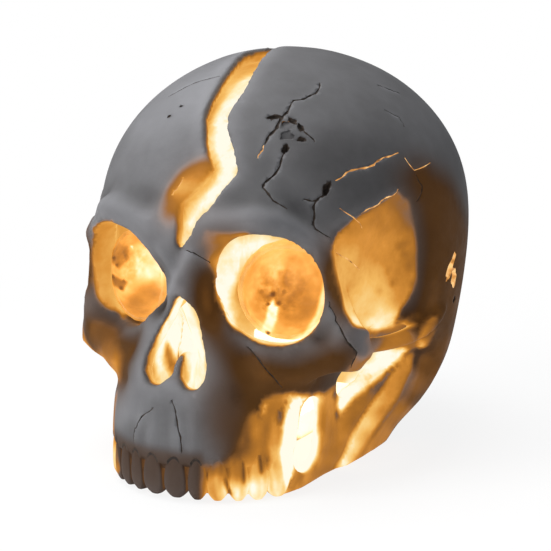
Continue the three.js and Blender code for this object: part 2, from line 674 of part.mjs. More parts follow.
function casting() {
  let shell = outside.subtract(below(0));
  shell = shell.subtract(box(-BEYOND, BEYOND, -BEYOND, TEETH_END, -1, GUM_HEIGHT));
  shell = shell.add(bothSides(cheekArch()));
  for (const tooth of teeth()) shell = shell.add(bothSides(tooth));
  let hollow = cavity.subtract(below(SOLE));
  hollow = hollow.subtract(box(-BEYOND, BEYOND, -BEYOND, TEETH_END + WALL, 0, GUM_HEIGHT + WALL));
  shell = shell.subtract(hollow);
  const orbit = loft(ORBIT_FLARE.map(([scale, depth]) => orbitRing(scale, depth)));
  shell = shell.subtract(bothSides(orbit)).subtract(bothSides(cupPocket()));
  const nose = new THREE.ExtrudeGeometry(noseShape(), { depth: -NOSE_BACK, bevelEnabled: false });
  shell = shell.subtract(solid(nose.rotateX(Math.PI / 2).translate(0, NOSE_BACK, 0)));
  shell = shell.add(spur());
  shell = shell.subtract(solid(crackCutter()));
  const slot = sideHole(SLOT_WIDTH, SLOT_HEIGHT, SLOT_LEAN, SLOT_LINE, SLOT_LEVEL, HOLE_INNER, SLOT_OUTER);
  shell = shell.subtract(bothSides(slot));
  const lean = 90 - WINDOW_SLANT;
  const spot = [WINDOW_LINE, WINDOW_LEVEL, HOLE_INNER, WINDOW_OUTER];
  shell = shell.subtract(bothSides(sideHole(WINDOW_WIDTH, WINDOW_LENGTH, lean, ...spot)));
  const [width, length] = [COVER_WIDTH + 2 * SEAT_GAP, COVER_LENGTH + 2 * SEAT_GAP];
  shell = shell.subtract(plate(width, length, COVER_CORNER + SEAT_GAP, -1, LEDGE_LEVEL));
  shell = shell.subtract(plate(OPENING_WIDTH, OPENING_LENGTH, OPENING_CORNER, 0, SOLE + 1));
  for (const [x, y] of SCREW_SPOTS) {
    shell = shell.subtract(rod(SCREW_RADIUS + SEAT_GAP / 2, x, y, LEDGE_LEVEL - 1, SOLE + 1, 10));
  }
  return shell;
}

// Base cover: plate, battery box, lamp post and switch ribs in one moulding
const COVER_TOP = COVER_RECESS + COVER_THICKNESS;
const WELL_FRONT = OPENING_FRONT + SWITCH_BAY + BOX_WALL;
const WELL_BACK = WELL_FRONT + WELL_LENGTH;
const CELL_LEVEL = COVER_RECESS + DOOR_THICKNESS + SLIDE_GAP + CELL_DIAMETER / 2;
const WELL_TOP = CELL_LEVEL + CELL_DIAMETER / 2 + SLIDE_GAP;
const ROOF = WELL_TOP + BOX_WALL;
const DOOR_FRONT = WELL_FRONT - DOOR_LIP;
const DOOR_BACK = WELL_BACK + DOOR_LIP;
const DOOR_HALF = WELL_WIDTH / 2 + DOOR_LIP;
const DOOR_TOP = COVER_RECESS + DOOR_THICKNESS;
const PIN_LEVEL = COVER_RECESS + DOOR_THICKNESS / 2;
const PIN_LINE = DOOR_FRONT + DOOR_THICKNESS / 2;
const POST_LINE = (WELL_FRONT + WELL_BACK) / 2;
const SWITCH_LINE = OPENING_FRONT + SWITCH_BAY / 2;
const SWITCH_FLOOR = COVER_TOP + SEAT_GAP;
const SWITCH_ROOM = SWITCH_WIDTH - 2 * SWITCH_WALL;
const cellLine = (i) => (i - (CELLS - 1) / 2) * (CELL_DIAMETER + CELL_ROOM);
const grooveLine = (i) => (cellLine(i) + cellLine(i + 1)) / 2;
const WIRE_LEVEL = WELL_TOP - WIRE_RADIUS - SEAT_GAP;
const BOARD_SCREW_SPOTS = [1, -1].map((side) => [side * BOARD_SCREW_CIRCLE, POST_LINE]);

function lampPost() {
  const neck = POST_TOP - FLANGE_THICKNESS;
  return turned([
    [0, ROOF - 1], [POST_RADIUS, ROOF - 1], [POST_RADIUS, neck - FLANGE_FLARE], [POST_FLANGE, neck],
    [POST_FLANGE, POST_TOP], [POST_BORE, POST_TOP], [POST_BORE, ROOF], [0, ROOF],
  ], 20, 0, POST_LINE);
}

function baseCover() {
  const half = WELL_WIDTH / 2;
  const [front, back] = [WELL_FRONT - BOX_WALL, WELL_BACK + BOX_WALL];
  let cover = plate(COVER_WIDTH, COVER_LENGTH, COVER_CORNER, COVER_RECESS, COVER_TOP);
  cover = cover.add(box(-half - BOX_WALL, half + BOX_WALL, front, back, COVER_RECESS, ROOF));
  cover = cover.add(lampPost());
  for (const side of [1, -1]) {
    const thin = RIB_THICKNESS / 2;
    const deep = SWITCH_WIDTH / 2;
    const at = side * (SWITCH_LENGTH / 2 + SEAT_GAP + thin);
    const [low, high] = [COVER_TOP - 1, COVER_TOP + RIB_HEIGHT];
    cover = cover.add(box(at - thin, at + thin, SWITCH_LINE - deep, SWITCH_LINE + deep, low, high));
  }
  cover = cover.subtract(box(-half, half, WELL_FRONT, WELL_BACK, 0, WELL_TOP));
  const gap = SLIDE_GAP;
  const wide = DOOR_HALF + gap;
  cover = cover.subtract(box(-wide, wide, DOOR_FRONT - gap, DOOR_BACK + gap, 0, DOOR_TOP + SEAT_GAP));
  const reach = DOOR_HALF + PIN_LENGTH + gap;
  const slack = PIN_RADIUS + gap;
  cover = cover.subtract(box(-reach, reach, PIN_LINE - slack, PIN_LINE + slack, 0, PIN_LEVEL + slack));
  const notch = rod(NOTCH_RADIUS, 0, DOOR_BACK + gap + NOTCH_SET_BACK, 0, DOOR_TOP - NOTCH_ROOF, 16);
  cover = cover.subtract(notch);
  for (const [x, y] of SCREW_SPOTS) {
    const seat = COVER_RECESS + SCREW_HEAD_HEIGHT + SEAT_GAP;
    cover = cover.subtract(rod(SCREW_RADIUS + SEAT_GAP, x, y, 0, COVER_TOP + 1, 12));
    cover = cover.subtract(rod(SCREW_HEAD + SEAT_GAP, x, y, 0, seat, 12));
  }
  for (const [x, y] of BOARD_SCREW_SPOTS) {
    const bore = BOARD_SCREW_RADIUS + SEAT_GAP / 2;
    cover = cover.subtract(rod(bore, x, y, POST_TOP - BOARD_SCREW_LENGTH, POST_TOP + 1, 8));
  }
  const slot = (SWITCH_TRAVEL + KNOB_WIDTH) / 2 + 2 * gap;
  const narrow = KNOB_WIDTH / 2 + gap;
  cover = cover.subtract(box(-slot, slot, SWITCH_LINE - narrow, SWITCH_LINE + narrow, 0, COVER_TOP + 1));
  const hole = WIRE_RADIUS + SEAT_GAP;
  const [left, right] = [grooveLine(0), grooveLine(1)];
  const start = POST_LINE - POST_RADIUS / 2;
  cover = cover.subtract(box(left - hole, left + hole, start, POST_LINE + hole, WELL_TOP - 1, ROOF + 1));
  const port = new THREE.CylinderGeometry(hole + SEAT_GAP, hole + SEAT_GAP, POST_RADIUS, 10);
  const portLine = POST_LINE - (POST_RADIUS + POST_BORE - 1) / 2;
  cover = cover.subtract(solid(port.translate(right, portLine, ROOF + WIRE_RISE)));
  const feed = new THREE.CylinderGeometry(hole, hole, 4 * BOX_WALL, 10);
  return cover.subtract(solid(feed.translate(right, WELL_FRONT, WIRE_LEVEL)));
}

function screw(radius, head, headHeight, length, sides) {
  const arm = head * 0.7;
  const thin = DRIVE_WIDTH / 2;
  const [low, high] = [headHeight * 0.45, headHeight + 1];
  const body = turned([
    [0, -length], [radius * 0.5, -length], [radius, -length + radius], [radius, 0], [head, 0],
    [head, headHeight * 0.6], [head * 0.75, headHeight], [0, headHeight],
  ], sides);
  const slotted = body.subtract(box(-arm, arm, -thin, thin, low, high));
  return slotted.subtract(box(-thin, thin, -arm, arm, low, high));
}

// Cells lie along Y, every other one turned round; cellWay is the side of the button
const cellWay = (i) => (i % 2 === 0 ? -1 : 1);
const cellMiddle = (i) => POST_LINE + cellWay(i) * (SPRING_LENGTH - CONTACT_THICKNESS) / 2;

function cell() {
  const radius = CELL_DIAMETER / 2;
  const half = CELL_LENGTH / 2;
  const shoulder = half - BUTTON_HEIGHT;
  return turned([
    [0, -half], [radius - CELL_EDGE, -half], [radius, -half + CELL_EDGE], [radius, shoulder - CELL_EDGE],
    [radius - CELL_EDGE, shoulder], [BUTTON_RADIUS, shoulder], [BUTTON_RADIUS, half], [0, half],
  ], 18);
}

function roundShape(radius, sides) {
  const points = [];
  for (let i = 0; i < sides; i += 1) {
    const angle = 2 * Math.PI * i / sides;
    points.push(new THREE.Vector2(radius * Math.cos(angle), radius * Math.sin(angle)));
  }
  return new THREE.Shape(points);
}

function tube(curve, radius, steps, sides) {
  const shape = roundShape(radius, sides);
  return solid(new THREE.ExtrudeGeometry(shape, { extrudePath: curve, steps, bevelEnabled: false }));
}

// Cone-shaped wire spring behind a cell's flat end, wide at the wall
class SpringLine extends THREE.Curve {
  getPoint(t) {
    const angle = 2 * Math.PI * SPRING_CURLS * t;
    const radius = SPRING_RADIUS * (0.62 + 0.38 * t);
    const start = -CELL_LENGTH / 2 - SEAT_GAP - SPRING_WIRE / 2;
    const rise = start - t * (SPRING_LENGTH - SPRING_WIRE);
    return vec(radius * Math.cos(angle), radius * Math.sin(angle), rise);
  }
}

function springGap() {
  const points = new SpringLine().getPoints(SPRING_CURLS * 24);
  let least = Infinity;
  for (let a = 0; a < points.length; a += 1) {
    for (let b = a + 14; b < points.length; b += 1) {
      least = Math.min(least, points[a].distanceTo(points[b]) - SPRING_WIRE);
    }
  }
  return least;
}

function batteryDoor() {
  const round = DOOR_THICKNESS / 2;
  const barrel = new THREE.CylinderGeometry(round, round, 2 * DOOR_HALF, 12);
  const pin = new THREE.CylinderGeometry(PIN_RADIUS, PIN_RADIUS, 2 * (DOOR_HALF + PIN_LENGTH), 10);
  let door = box(-DOOR_HALF, DOOR_HALF, PIN_LINE, DOOR_BACK, COVER_RECESS, DOOR_TOP);
  door = door.add(solid(barrel.rotateZ(Math.PI / 2).translate(0, PIN_LINE, PIN_LEVEL)));
  door = door.add(solid(pin.rotateZ(Math.PI / 2).translate(0, PIN_LINE, PIN_LEVEL)));
  for (let i = 0; i < GRIPS; i += 1) {
    const y = DOOR_BACK - GRIP_INSET - GRIP_STEP * i;
    const [long, thin] = [GRIP_LENGTH / 2, GRIP_WIDTH / 2];
    door = door.subtract(box(-long, long, y - thin, y + thin, 0, COVER_RECESS + GRIP_DEPTH));
  }
  return door;
}

function switchBody() {
  const half = SWITCH_LENGTH / 2;
  const deep = SWITCH_WIDTH / 2;
  const room = SWITCH_ROOM / 2;
  const slot = (SWITCH_TRAVEL + KNOB_WIDTH) / 2 + SLIDE_GAP;
  const narrow = KNOB_WIDTH / 2 + SLIDE_GAP;
  const top = SWITCH_FLOOR + SWITCH_HEIGHT;
  const inside = half - SWITCH_WALL;
  const [floor, roof] = [SWITCH_FLOOR + SWITCH_WALL, top - SWITCH_WALL];
  let body = box(-half, half, SWITCH_LINE - deep, SWITCH_LINE + deep, SWITCH_FLOOR, top);
  body = body.subtract(box(-inside, inside, SWITCH_LINE - room, SWITCH_LINE + room, floor, roof));
  return body.subtract(box(-slot, slot, SWITCH_LINE - narrow, SWITCH_LINE + narrow, 0, floor + SWITCH_WALL));
}

// Knob in its on position, at the +X end of its travel
function switchKnob() {
  const middle = SWITCH_TRAVEL / 2;
  const stem = KNOB_WIDTH / 2;
  const reach = SWITCH_LENGTH / 2 - SWITCH_WALL - middle - SLIDE_GAP;
  const wide = SWITCH_ROOM / 2 - SLIDE_GAP;
  const low = SWITCH_FLOOR + SWITCH_WALL + SLIDE_GAP;
  const [front, back] = [SWITCH_LINE - stem, SWITCH_LINE + stem];
  const knob = box(middle - stem, middle + stem, front, back, COVER_RECESS / 2, low + 1);
  const foot = [SWITCH_LINE - wide, SWITCH_LINE + wide, low, low + KNOB_FOOT];
  return knob.add(box(middle - reach, middle + reach, ...foot));
}

function lampBoard() {
  const profile = [[0, 0], [BOARD_RADIUS, 0], [BOARD_RADIUS, BOARD_THICKNESS], [0, BOARD_THICKNESS]];
  const bore = BOARD_SCREW_RADIUS + SEAT_GAP;
  let board = turned(profile, 24);
  for (const side of [1, -1]) {
    board = board.subtract(rod(bore, side * BOARD_SCREW_CIRCLE, 0, -1, BOARD_THICKNESS + 1, 10));
  }
  return board;
}

function led() {
  const flange = LED_RADIUS + LED_FLANGE;
  const profile = [[0, 0], [flange, 0], [flange, LED_FLANGE_HEIGHT], [LED_RADIUS, LED_FLANGE_HEIGHT]];
  const straight = LED_HEIGHT - LED_RADIUS;
  for (let i = 0; i <= 4; i += 1) {
    const angle = Math.PI / 2 * i / 4;
    profile.push([i === 4 ? 0 : LED_RADIUS * Math.cos(angle), straight + LED_RADIUS * Math.sin(angle)]);
  }
  return turned(profile, 12);
}

function diffuserDome() {
  const inner = BOARD_RADIUS + DOME_ROOM;
  const outer = inner + DOME_WALL;
  const arc = (radius, i) => {
    const angle = i * Math.PI / 12;
    return [radius * Math.cos(angle), DOME_STRAIGHT + radius * Math.sin(angle)];
  };
  const profile = [[inner, 0], [outer, 0]];
  for (let i = 0; i < 6; i += 1) profile.push(arc(outer, i));
  profile.push([0, DOME_STRAIGHT + outer], [0, DOME_STRAIGHT + inner]);
  for (let i = 5; i >= 0; i -= 1) profile.push(arc(inner, i));
  profile.push([inner, 0]);
  return turned(profile, 20);
}

const line = (points) => new THREE.CatmullRomCurve3(points.map(([x, y, z]) => vec(x, y, z)));

function redWire() {
  const x = grooveLine(0);
  return tube(line([
    [x, WELL_FRONT + 1.5, WIRE_LEVEL], [x, POST_LINE - 14, WIRE_LEVEL], [x, POST_LINE - 6, WIRE_LEVEL],
    [x, POST_LINE - 2.2, WIRE_LEVEL + 1], [x, POST_LINE - 0.3, WIRE_LEVEL + 4],
    [x, POST_LINE, WIRE_LEVEL + 9], [x, POST_LINE, POST_TOP],
  ]), WIRE_RADIUS, 22, 7);
}

function blackWire() {
  const x = grooveLine(1);
  const start = SWITCH_FLOOR + SWITCH_HEIGHT + SEAT_GAP;
  const over = ROOF + WIRE_RISE;
  return tube(line([
    [x, SWITCH_LINE, start], [x, SWITCH_LINE, start + 5], [x, WELL_FRONT, over - 1],
    [x, POST_LINE - 16, over], [x, POST_LINE - 10, over], [x, POST_LINE - 5, over],
    [x, POST_LINE - 1, over + 2.5], [x, POST_LINE, over + 8], [x, POST_LINE, POST_TOP],
  ]), WIRE_RADIUS, 26, 7);
}

function switchWire() {
  const x = grooveLine(1);
  const end = SWITCH_FLOOR + SWITCH_HEIGHT + SEAT_GAP;
  return tube(line([
    [x, WELL_FRONT + 5, WIRE_LEVEL], [x, WELL_FRONT + 1, WIRE_LEVEL], [x, WELL_FRONT - 2, WIRE_LEVEL],
    [x - 1.2, WELL_FRONT - 4.4, WIRE_LEVEL - 0.3], [x - 3, SWITCH_LINE + 1, end + 1],
    [x - 3, SWITCH_LINE + 0.6, end],
  ]), WIRE_RADIUS, 14, 7);
}

// Materials
const material = (name, color, roughness, metalness = 0) => {
  return new THREE.MeshStandardMaterial({ name, color, roughness, metalness });
};
const SHELL_RESIN = material('shell_resin', 0x6f6b66, 0.72);
const AMBER_RESIN = material('amber_resin', 0xe0963c, 0.45);
const IVORY_PLASTIC = material('ivory_plastic', 0xe4d9c0, 0.5);
const BLACK_PLASTIC = material('black_plastic', 0x1c1c1e, 0.55);
const BOARD_GREEN = material('board_green', 0x1f5a34, 0.5);
const LED_EPOXY = material('led_epoxy', 0xf6e7b8, 0.2);
const FROSTED = material('frosted_plastic', 0xf4ead2, 0.6);
const STEEL = material('plated_steel', 0xb9bcc0, 0.3, 1);
const CELL_SLEEVE = material('cell_sleeve', 0x7a4a1d, 0.4);
const RED_LEAD = material('red_insulation', 0xa81e1a, 0.5);
const BLACK_LEAD = material('black_insulation', 0x161616, 0.5);
const KNOB_WHITE = material('knob_white', 0xd9d6cf, 0.5);

// Assembly
const skull = new THREE.Group();

function piece(name, body, look, x = 0, y = 0, z = 0, pitch = 0) {
  const mesh = new THREE.Mesh(geometryOf(body), look);
  mesh.name = name;
  mesh.position.set(x, y, z);
  mesh.rotation.x = pitch;
  skull.add(mesh);
}

piece('skull_shell', casting(), SHELL_RESIN);
const cup = eyeCup();
piece('eye_cup_left', solid(cup), AMBER_RESIN);
piece('eye_cup_right', solid(mirrored(cup)), AMBER_RESIN);
piece('base_cover', baseCover(), IVORY_PLASTIC);
const baseScrew = screw(SCREW_RADIUS, SCREW_HEAD, SCREW_HEAD_HEIGHT, BASE_SCREW_LENGTH, 10);
SCREW_SPOTS.forEach(([x, y], i) => {
  piece(`base_screw_${i + 1}`, baseScrew, STEEL, x, y, COVER_RECESS + SCREW_HEAD_HEIGHT, Math.PI);
});
const spring = tube(new SpringLine(), SPRING_WIRE / 2, SPRING_CURLS * 8, 5);
console.log(`contact springs: least gap between curls ${springGap().toFixed(2)} mm`);
for (let i = 0; i < CELLS; i += 1) {
  const pitch = -cellWay(i) * Math.PI / 2;
  const past = CELL_LENGTH / 2 + SEAT_GAP + CONTACT_THICKNESS / 2;
  const size = CONTACT_SIZE / 2;
  const thin = CONTACT_THICKNESS / 2;
  piece(`battery_${i + 1}`, cell(), CELL_SLEEVE, cellLine(i), cellMiddle(i), CELL_LEVEL, pitch);
  piece(`contact_spring_${i + 1}`, spring, STEEL, cellLine(i), cellMiddle(i), CELL_LEVEL, pitch);
  const contact = box(-size, size, -thin, thin, -size, size);
  const end = cellMiddle(i) + cellWay(i) * past;
  piece(`contact_plate_${i + 1}`, contact, STEEL, cellLine(i), end, CELL_LEVEL);
}
piece('battery_door', batteryDoor(), IVORY_PLASTIC);
piece('switch_body', switchBody(), BLACK_PLASTIC);
piece('switch_knob', switchKnob(), KNOB_WHITE);
const BOARD_LEVEL = POST_TOP + SEAT_GAP;
const BOARD_FACE = BOARD_LEVEL + BOARD_THICKNESS + SEAT_GAP;
piece('lamp_board', lampBoard(), BOARD_GREEN, 0, POST_LINE, BOARD_LEVEL);
const [boardScrewBody, boardScrewHead] = [BOARD_SCREW_RADIUS, 2 * BOARD_SCREW_RADIUS];
const boardScrew = screw(
  boardScrewBody, boardScrewHead, BOARD_SCREW_HEAD_HEIGHT, BOARD_SCREW_LENGTH, 10,
);
BOARD_SCREW_SPOTS.forEach(([x, y], i) => {
  piece(`board_screw_${i + 1}`, boardScrew, STEEL, x, y, BOARD_FACE);
});
for (let i = 0; i < LEDS; i += 1) {
  const angle = 2 * Math.PI * (i + 0.25) / LEDS;
  const [x, y] = [LED_CIRCLE * Math.cos(angle), POST_LINE + LED_CIRCLE * Math.sin(angle)];
  piece(`lamp_led_${i + 1}`, led(), LED_EPOXY, x, y, BOARD_FACE);
}
piece('diffuser_dome', diffuserDome(), FROSTED, 0, POST_LINE, BOARD_LEVEL);
piece('lamp_wire_red', redWire(), RED_LEAD);
piece('lamp_wire_black', blackWire(), BLACK_LEAD);
piece('switch_wire', switchWire(), BLACK_LEAD);

// The part's origin is the middle of its footprint, on the table
const extent = new THREE.Box3().setFromObject(skull);
skull.position.y = -(extent.min.y + extent.max.y) / 2;
const part = new THREE.Group();
part.add(skull);
export default part;
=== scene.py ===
import math

import bmesh
import bpy
import numpy as np
from mathutils import Matrix, Vector, noise
from mathutils.bvhtree import BVHTree
from mathutils.kdtree import KDTree


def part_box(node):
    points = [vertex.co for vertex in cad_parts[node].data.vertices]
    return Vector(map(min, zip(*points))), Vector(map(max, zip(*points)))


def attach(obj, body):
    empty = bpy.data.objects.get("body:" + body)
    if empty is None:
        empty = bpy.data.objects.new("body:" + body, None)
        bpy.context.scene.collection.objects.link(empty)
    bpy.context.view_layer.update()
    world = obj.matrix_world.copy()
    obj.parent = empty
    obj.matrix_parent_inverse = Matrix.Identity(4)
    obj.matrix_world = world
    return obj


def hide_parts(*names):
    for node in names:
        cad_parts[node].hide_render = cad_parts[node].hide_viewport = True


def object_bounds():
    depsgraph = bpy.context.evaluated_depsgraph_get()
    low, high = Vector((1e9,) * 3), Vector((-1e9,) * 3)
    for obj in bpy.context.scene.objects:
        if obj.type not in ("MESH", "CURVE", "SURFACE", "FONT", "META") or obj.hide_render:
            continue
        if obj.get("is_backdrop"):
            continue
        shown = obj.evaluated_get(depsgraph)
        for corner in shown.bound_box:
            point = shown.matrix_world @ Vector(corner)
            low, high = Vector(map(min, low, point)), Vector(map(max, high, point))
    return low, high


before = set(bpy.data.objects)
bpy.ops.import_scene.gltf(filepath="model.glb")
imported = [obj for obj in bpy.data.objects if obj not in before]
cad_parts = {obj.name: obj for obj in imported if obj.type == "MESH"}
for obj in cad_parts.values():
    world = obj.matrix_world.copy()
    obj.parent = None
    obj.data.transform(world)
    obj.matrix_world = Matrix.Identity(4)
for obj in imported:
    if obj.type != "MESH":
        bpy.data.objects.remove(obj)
cad_low, cad_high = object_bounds()


# Camera: a portrait lens a little to the skull's left and above the cheekbones, so that
# the cracked crown, both eye holes and the hollow temple show together.
CAMERA_TURN, CAMERA_RISE, CAMERA_DISTANCE = 28.84, 9.3, 0.6344
CAMERA_TARGET = Vector((0, 0.003, 0.088))
LENS_PIXELS, PICTURE_PIXELS = 1498.8, 551
AXIS_PIXEL = (284.5, 233.8)
SENSOR = 36

turn, rise = math.radians(CAMERA_TURN), math.radians(CAMERA_RISE)
back = Vector((math.sin(turn) * math.cos(rise), -math.cos(turn) * math.cos(rise), math.sin(rise)))
across = Vector((math.cos(turn), math.sin(turn), 0))
upward = back.cross(across)
eye_point = CAMERA_TARGET + back * CAMERA_DISTANCE
bpy.ops.object.camera_add(location=eye_point)
camera = bpy.context.object
camera.rotation_euler = (-back).to_track_quat("-Z", "Y").to_euler()
camera.data.sensor_width = SENSOR
camera.data.lens = SENSOR * LENS_PIXELS / PICTURE_PIXELS
camera.data.shift_x = 0.5 - AXIS_PIXEL[0] / PICTURE_PIXELS
camera.data.shift_y = AXIS_PIXEL[1] / PICTURE_PIXELS - 0.5
camera.data.clip_start = 0.01
bpy.context.scene.camera = camera
bpy.context.scene.view_settings.view_transform = "Standard"


# Table top and light tent: a pale matte board under two soft boxes, with a white sheet all
# round. The board keeps the skull's soft shadow, and is clear from below and under the skull.
class Wire:
    """A shader socket that takes part in Python sums."""

    def __init__(self, finish, socket):
        self.finish, self.socket = finish, socket

    def maths(self, operation, first, second):
        return self.finish.add("ShaderNodeMath", {"operation": operation}, {0: first, 1: second})

    def __add__(self, other):
        return self.maths("ADD", self, other)

    def __sub__(self, other):
        return self.maths("SUBTRACT", self, other)

    def __mul__(self, other):
        return self.maths("MULTIPLY", self, other)

    def __truediv__(self, other):
        return self.maths("DIVIDE", self, other)

    def __pow__(self, other):
        return self.maths("POWER", self, other)

    def __rsub__(self, other):
        return self.maths("SUBTRACT", other, self)

    __radd__, __rmul__ = __add__, __mul__

    def step(self, low, high):
        """0 below low, 1 above high and a smooth rise between; low above high falls."""
        ends = {"Value": self, "From Min": low, "From Max": high}
        return self.finish.add("ShaderNodeMapRange", {"interpolation_type": "SMOOTHSTEP"}, ends)


class Finish:
    """A material whose nodes come from one method."""

    def __init__(self, name, **fixed):
        self.material = bpy.data.materials.new(name)
        self.material.use_nodes = True
        self.tree = self.material.node_tree
        self.tree.nodes.clear()
        self.shader = self.tree.nodes.new("ShaderNodeBsdfPrincipled")
        for socket, value in fixed.items():
            self.shader.inputs[socket.replace("_", " ")].default_value = value
        self.output = self.tree.nodes.new("ShaderNodeOutputMaterial")
        self.tree.links.new(self.shader.outputs[0], self.output.inputs[0])

    def add(self, kind, settings, sockets, out=0):
        node = self.tree.nodes.new(kind)
        for name, value in settings.items():
            if name == "stops":
                while len(node.color_ramp.elements) < len(value):
                    node.color_ramp.elements.new(0.5)
                for element, (place, colour) in zip(node.color_ramp.elements, value):
                    element.position, element.color = place, (*colour, 1)
            else:
                setattr(node, name, value)
        for name, value in sockets.items():
            if isinstance(value, Wire):
                self.tree.links.new(value.socket, node.inputs[name])
            else:
                node.inputs[name].default_value = value
        return Wire(self, node.outputs[out])

    def feed(self, socket, wire):
        self.tree.links.new(wire.socket, self.shader.inputs[socket])

    def place(self):
        return self.add("ShaderNodeTexCoord", {}, {}, "Object")

    def attribute(self, name):
        return self.add("ShaderNodeAttribute", {"attribute_name": name}, {}, "Fac")

    def noise(self, scale, detail=3.0, rough=0.5):
        sockets = {"Vector": self.place(), "Scale": scale, "Detail": detail, "Roughness": rough}
        return self.add("ShaderNodeTexNoise", {}, sockets)

    def ramp(self, value, *stops):
        return self.add("ShaderNodeValToRGB", {"stops": stops}, {"Fac": value})

    def mix(self, factor, first, second):
        colours = [(*c, 1) if isinstance(c, tuple) else c for c in (first, second)]
        sockets = {0: factor, 6: colours[0], 7: colours[1]}
        return self.add("ShaderNodeMix", {"data_type": "RGBA"}, sockets, 2)

    def bump(self, height, depth, strength):
        sockets = {"Height": height, "Distance": depth, "Strength": strength}
        self.feed("Normal", self.add("ShaderNodeBump", {}, sockets))


def pick(piece):
    """Selects a piece alone and makes it the active one."""
    bpy.ops.object.select_all(action="DESELECT")
    piece.select_set(True)
    bpy.context.view_layer.objects.active = piece


BOARD_SIZE, BOARD_LEVEL, BOARD_GREY = 6, -0.0003, 0.86
SHADOW_KEPT, SHADOW_REACH = 0.14, (0.12, 0.4)
CLEAR_WIDE, CLEAR_LONG, CLEAR_MIDDLE = 0.037, 0.056, 0.004
bpy.ops.object.select_all(action="DESELECT")
bpy.ops.mesh.primitive_plane_add(size=BOARD_SIZE, location=(0, 0, BOARD_LEVEL))
board = bpy.context.object
board.name = "table_board"
paper = Finish("white_board", Base_Color=(BOARD_GREY, BOARD_GREY, BOARD_GREY, 1), Roughness=0.9)
path = {name: paper.add("ShaderNodeLightPath", {}, {}, name) for name in
        ("Is Camera Ray", "Is Glossy Ray", "Is Transmission Ray")}
seen = path["Is Camera Ray"] + path["Is Glossy Ray"] + path["Is Transmission Ray"]
white = paper.add("ShaderNodeEmission", {}, {"Color": (1, 1, 1, 1), "Strength": 1.0})
lit = Wire(paper, paper.shader.outputs[0])
from_middle = paper.add("ShaderNodeVectorMath", {"operation": "LENGTH"}, {0: paper.place()}, "Value")
whiteness = seen.step(0, 1) * (1 - SHADOW_KEPT + SHADOW_KEPT * from_middle.step(*SHADOW_REACH))
shown = paper.add("ShaderNodeMixShader", {}, {0: whiteness, 1: lit, 2: white})
clear = paper.add("ShaderNodeBsdfTransparent", {}, {})
below = paper.add("ShaderNodeNewGeometry", {}, {}, "Backfacing")
board_x, board_y = (paper.add("ShaderNodeSeparateXYZ", {}, {0: paper.place()}, axis) for axis in "XY")
off_middle = (board_x / CLEAR_WIDE) ** 4 + ((board_y - CLEAR_MIDDLE) / CLEAR_LONG) ** 4
under_skull = off_middle.step(1.0, 0.9)
see_through = below.maths("MAXIMUM", below, under_skull)
both = paper.add("ShaderNodeMixShader", {}, {0: see_through, 1: shown, 2: clear})
paper.tree.links.new(both.socket, paper.output.inputs[0])
board.data.materials.append(paper.material)
board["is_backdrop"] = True

TENT_COLOUR, TENT_STRENGTH = (0.92, 0.96, 1, 1), 0.33
world = bpy.data.worlds.new("light_tent")
world.use_nodes = True
bpy.context.scene.world = world
sky = world.node_tree
sky.nodes.clear()
tent = sky.nodes.new("ShaderNodeBackground")
sheet = sky.nodes.new("ShaderNodeBackground")
sheet.inputs["Color"].default_value = (1, 1, 1, 1)
tent.inputs["Color"].default_value = TENT_COLOUR
tent.inputs["Strength"].default_value = TENT_STRENGTH
ray = sky.nodes.new("ShaderNodeLightPath")
choice = sky.nodes.new("ShaderNodeMixShader")
sky.links.new(ray.outputs["Is Camera Ray"], choice.inputs[0])
sky.links.new(tent.outputs[0], choice.inputs[1])
sky.links.new(sheet.outputs[0], choice.inputs[2])
sky.links.new(choice.outputs[0], sky.nodes.new("ShaderNodeOutputWorld").inputs[0])

SOFT_BOXES = (
    # name, place, size and watts
    ("soft_box_left", (-0.55, -0.8, 0.6), 0.55, 8.0),
    ("soft_box_top", (-0.15, -0.05, 1.0), 0.6, 8.0),
)
SOFT_BOX_AIM = Vector((0, 0, 0.09))
for name, place, size, watts in SOFT_BOXES:
    bpy.ops.object.light_add(type="AREA", location=place)
    soft_box = bpy.context.object
    soft_box.name = name
    soft_box.data.size, soft_box.data.energy = size, watts
    soft_box.rotation_euler = (SOFT_BOX_AIM - Vector(place)).to_track_quat("-Z", "Y").to_euler()


# Casting: the hollow skull in one piece of amber resin, slush cast in a rubber mould, then
# sprayed stone grey outside. Light shows where the wall is thin or open and in its cracks.
REMESH = 0.0016
SHARP_EDGE, RIM_STEP = 48, 0.0008
SMOOTHED = (
    # how far from the sharp rims smoothing starts, over what length it grows, and its rounds
    ("soft", 0.001, 0.0035, 24),
    ("vault", 0.012, 0.018, 100),
)
CENTRE, FAR_OUT = Vector((0, -0.037, 0.072)), 0.3
SKIN_ROOM = 0.0015


def copy_of(node, name):
    """A merged copy of a CAD node, free to be worked on."""
    piece = bpy.data.objects.new(name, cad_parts[node].data.copy())
    bpy.context.scene.collection.objects.link(piece)
    pick(piece)
    bpy.ops.object.mode_set(mode="EDIT")
    bpy.ops.mesh.select_all(action="SELECT")
    bpy.ops.mesh.remove_doubles(threshold=1e-6)
    bpy.ops.object.mode_set(mode="OBJECT")
    return piece


def apply(piece, kind, **settings):
    """Adds a modifier with these settings and applies it."""
    pick(piece)
    modifier = piece.modifiers.new(kind.title(), kind)
    for name, value in settings.items():
        setattr(modifier, name, value)
    bpy.ops.object.modifier_apply(modifier=modifier.name)


def tree_of(points):
    """A search tree for the distance to the nearest of many points."""
    tree = KDTree(len(points))
    for i, point in enumerate(points):
        tree.insert(point, i)
    tree.balance()
    return tree


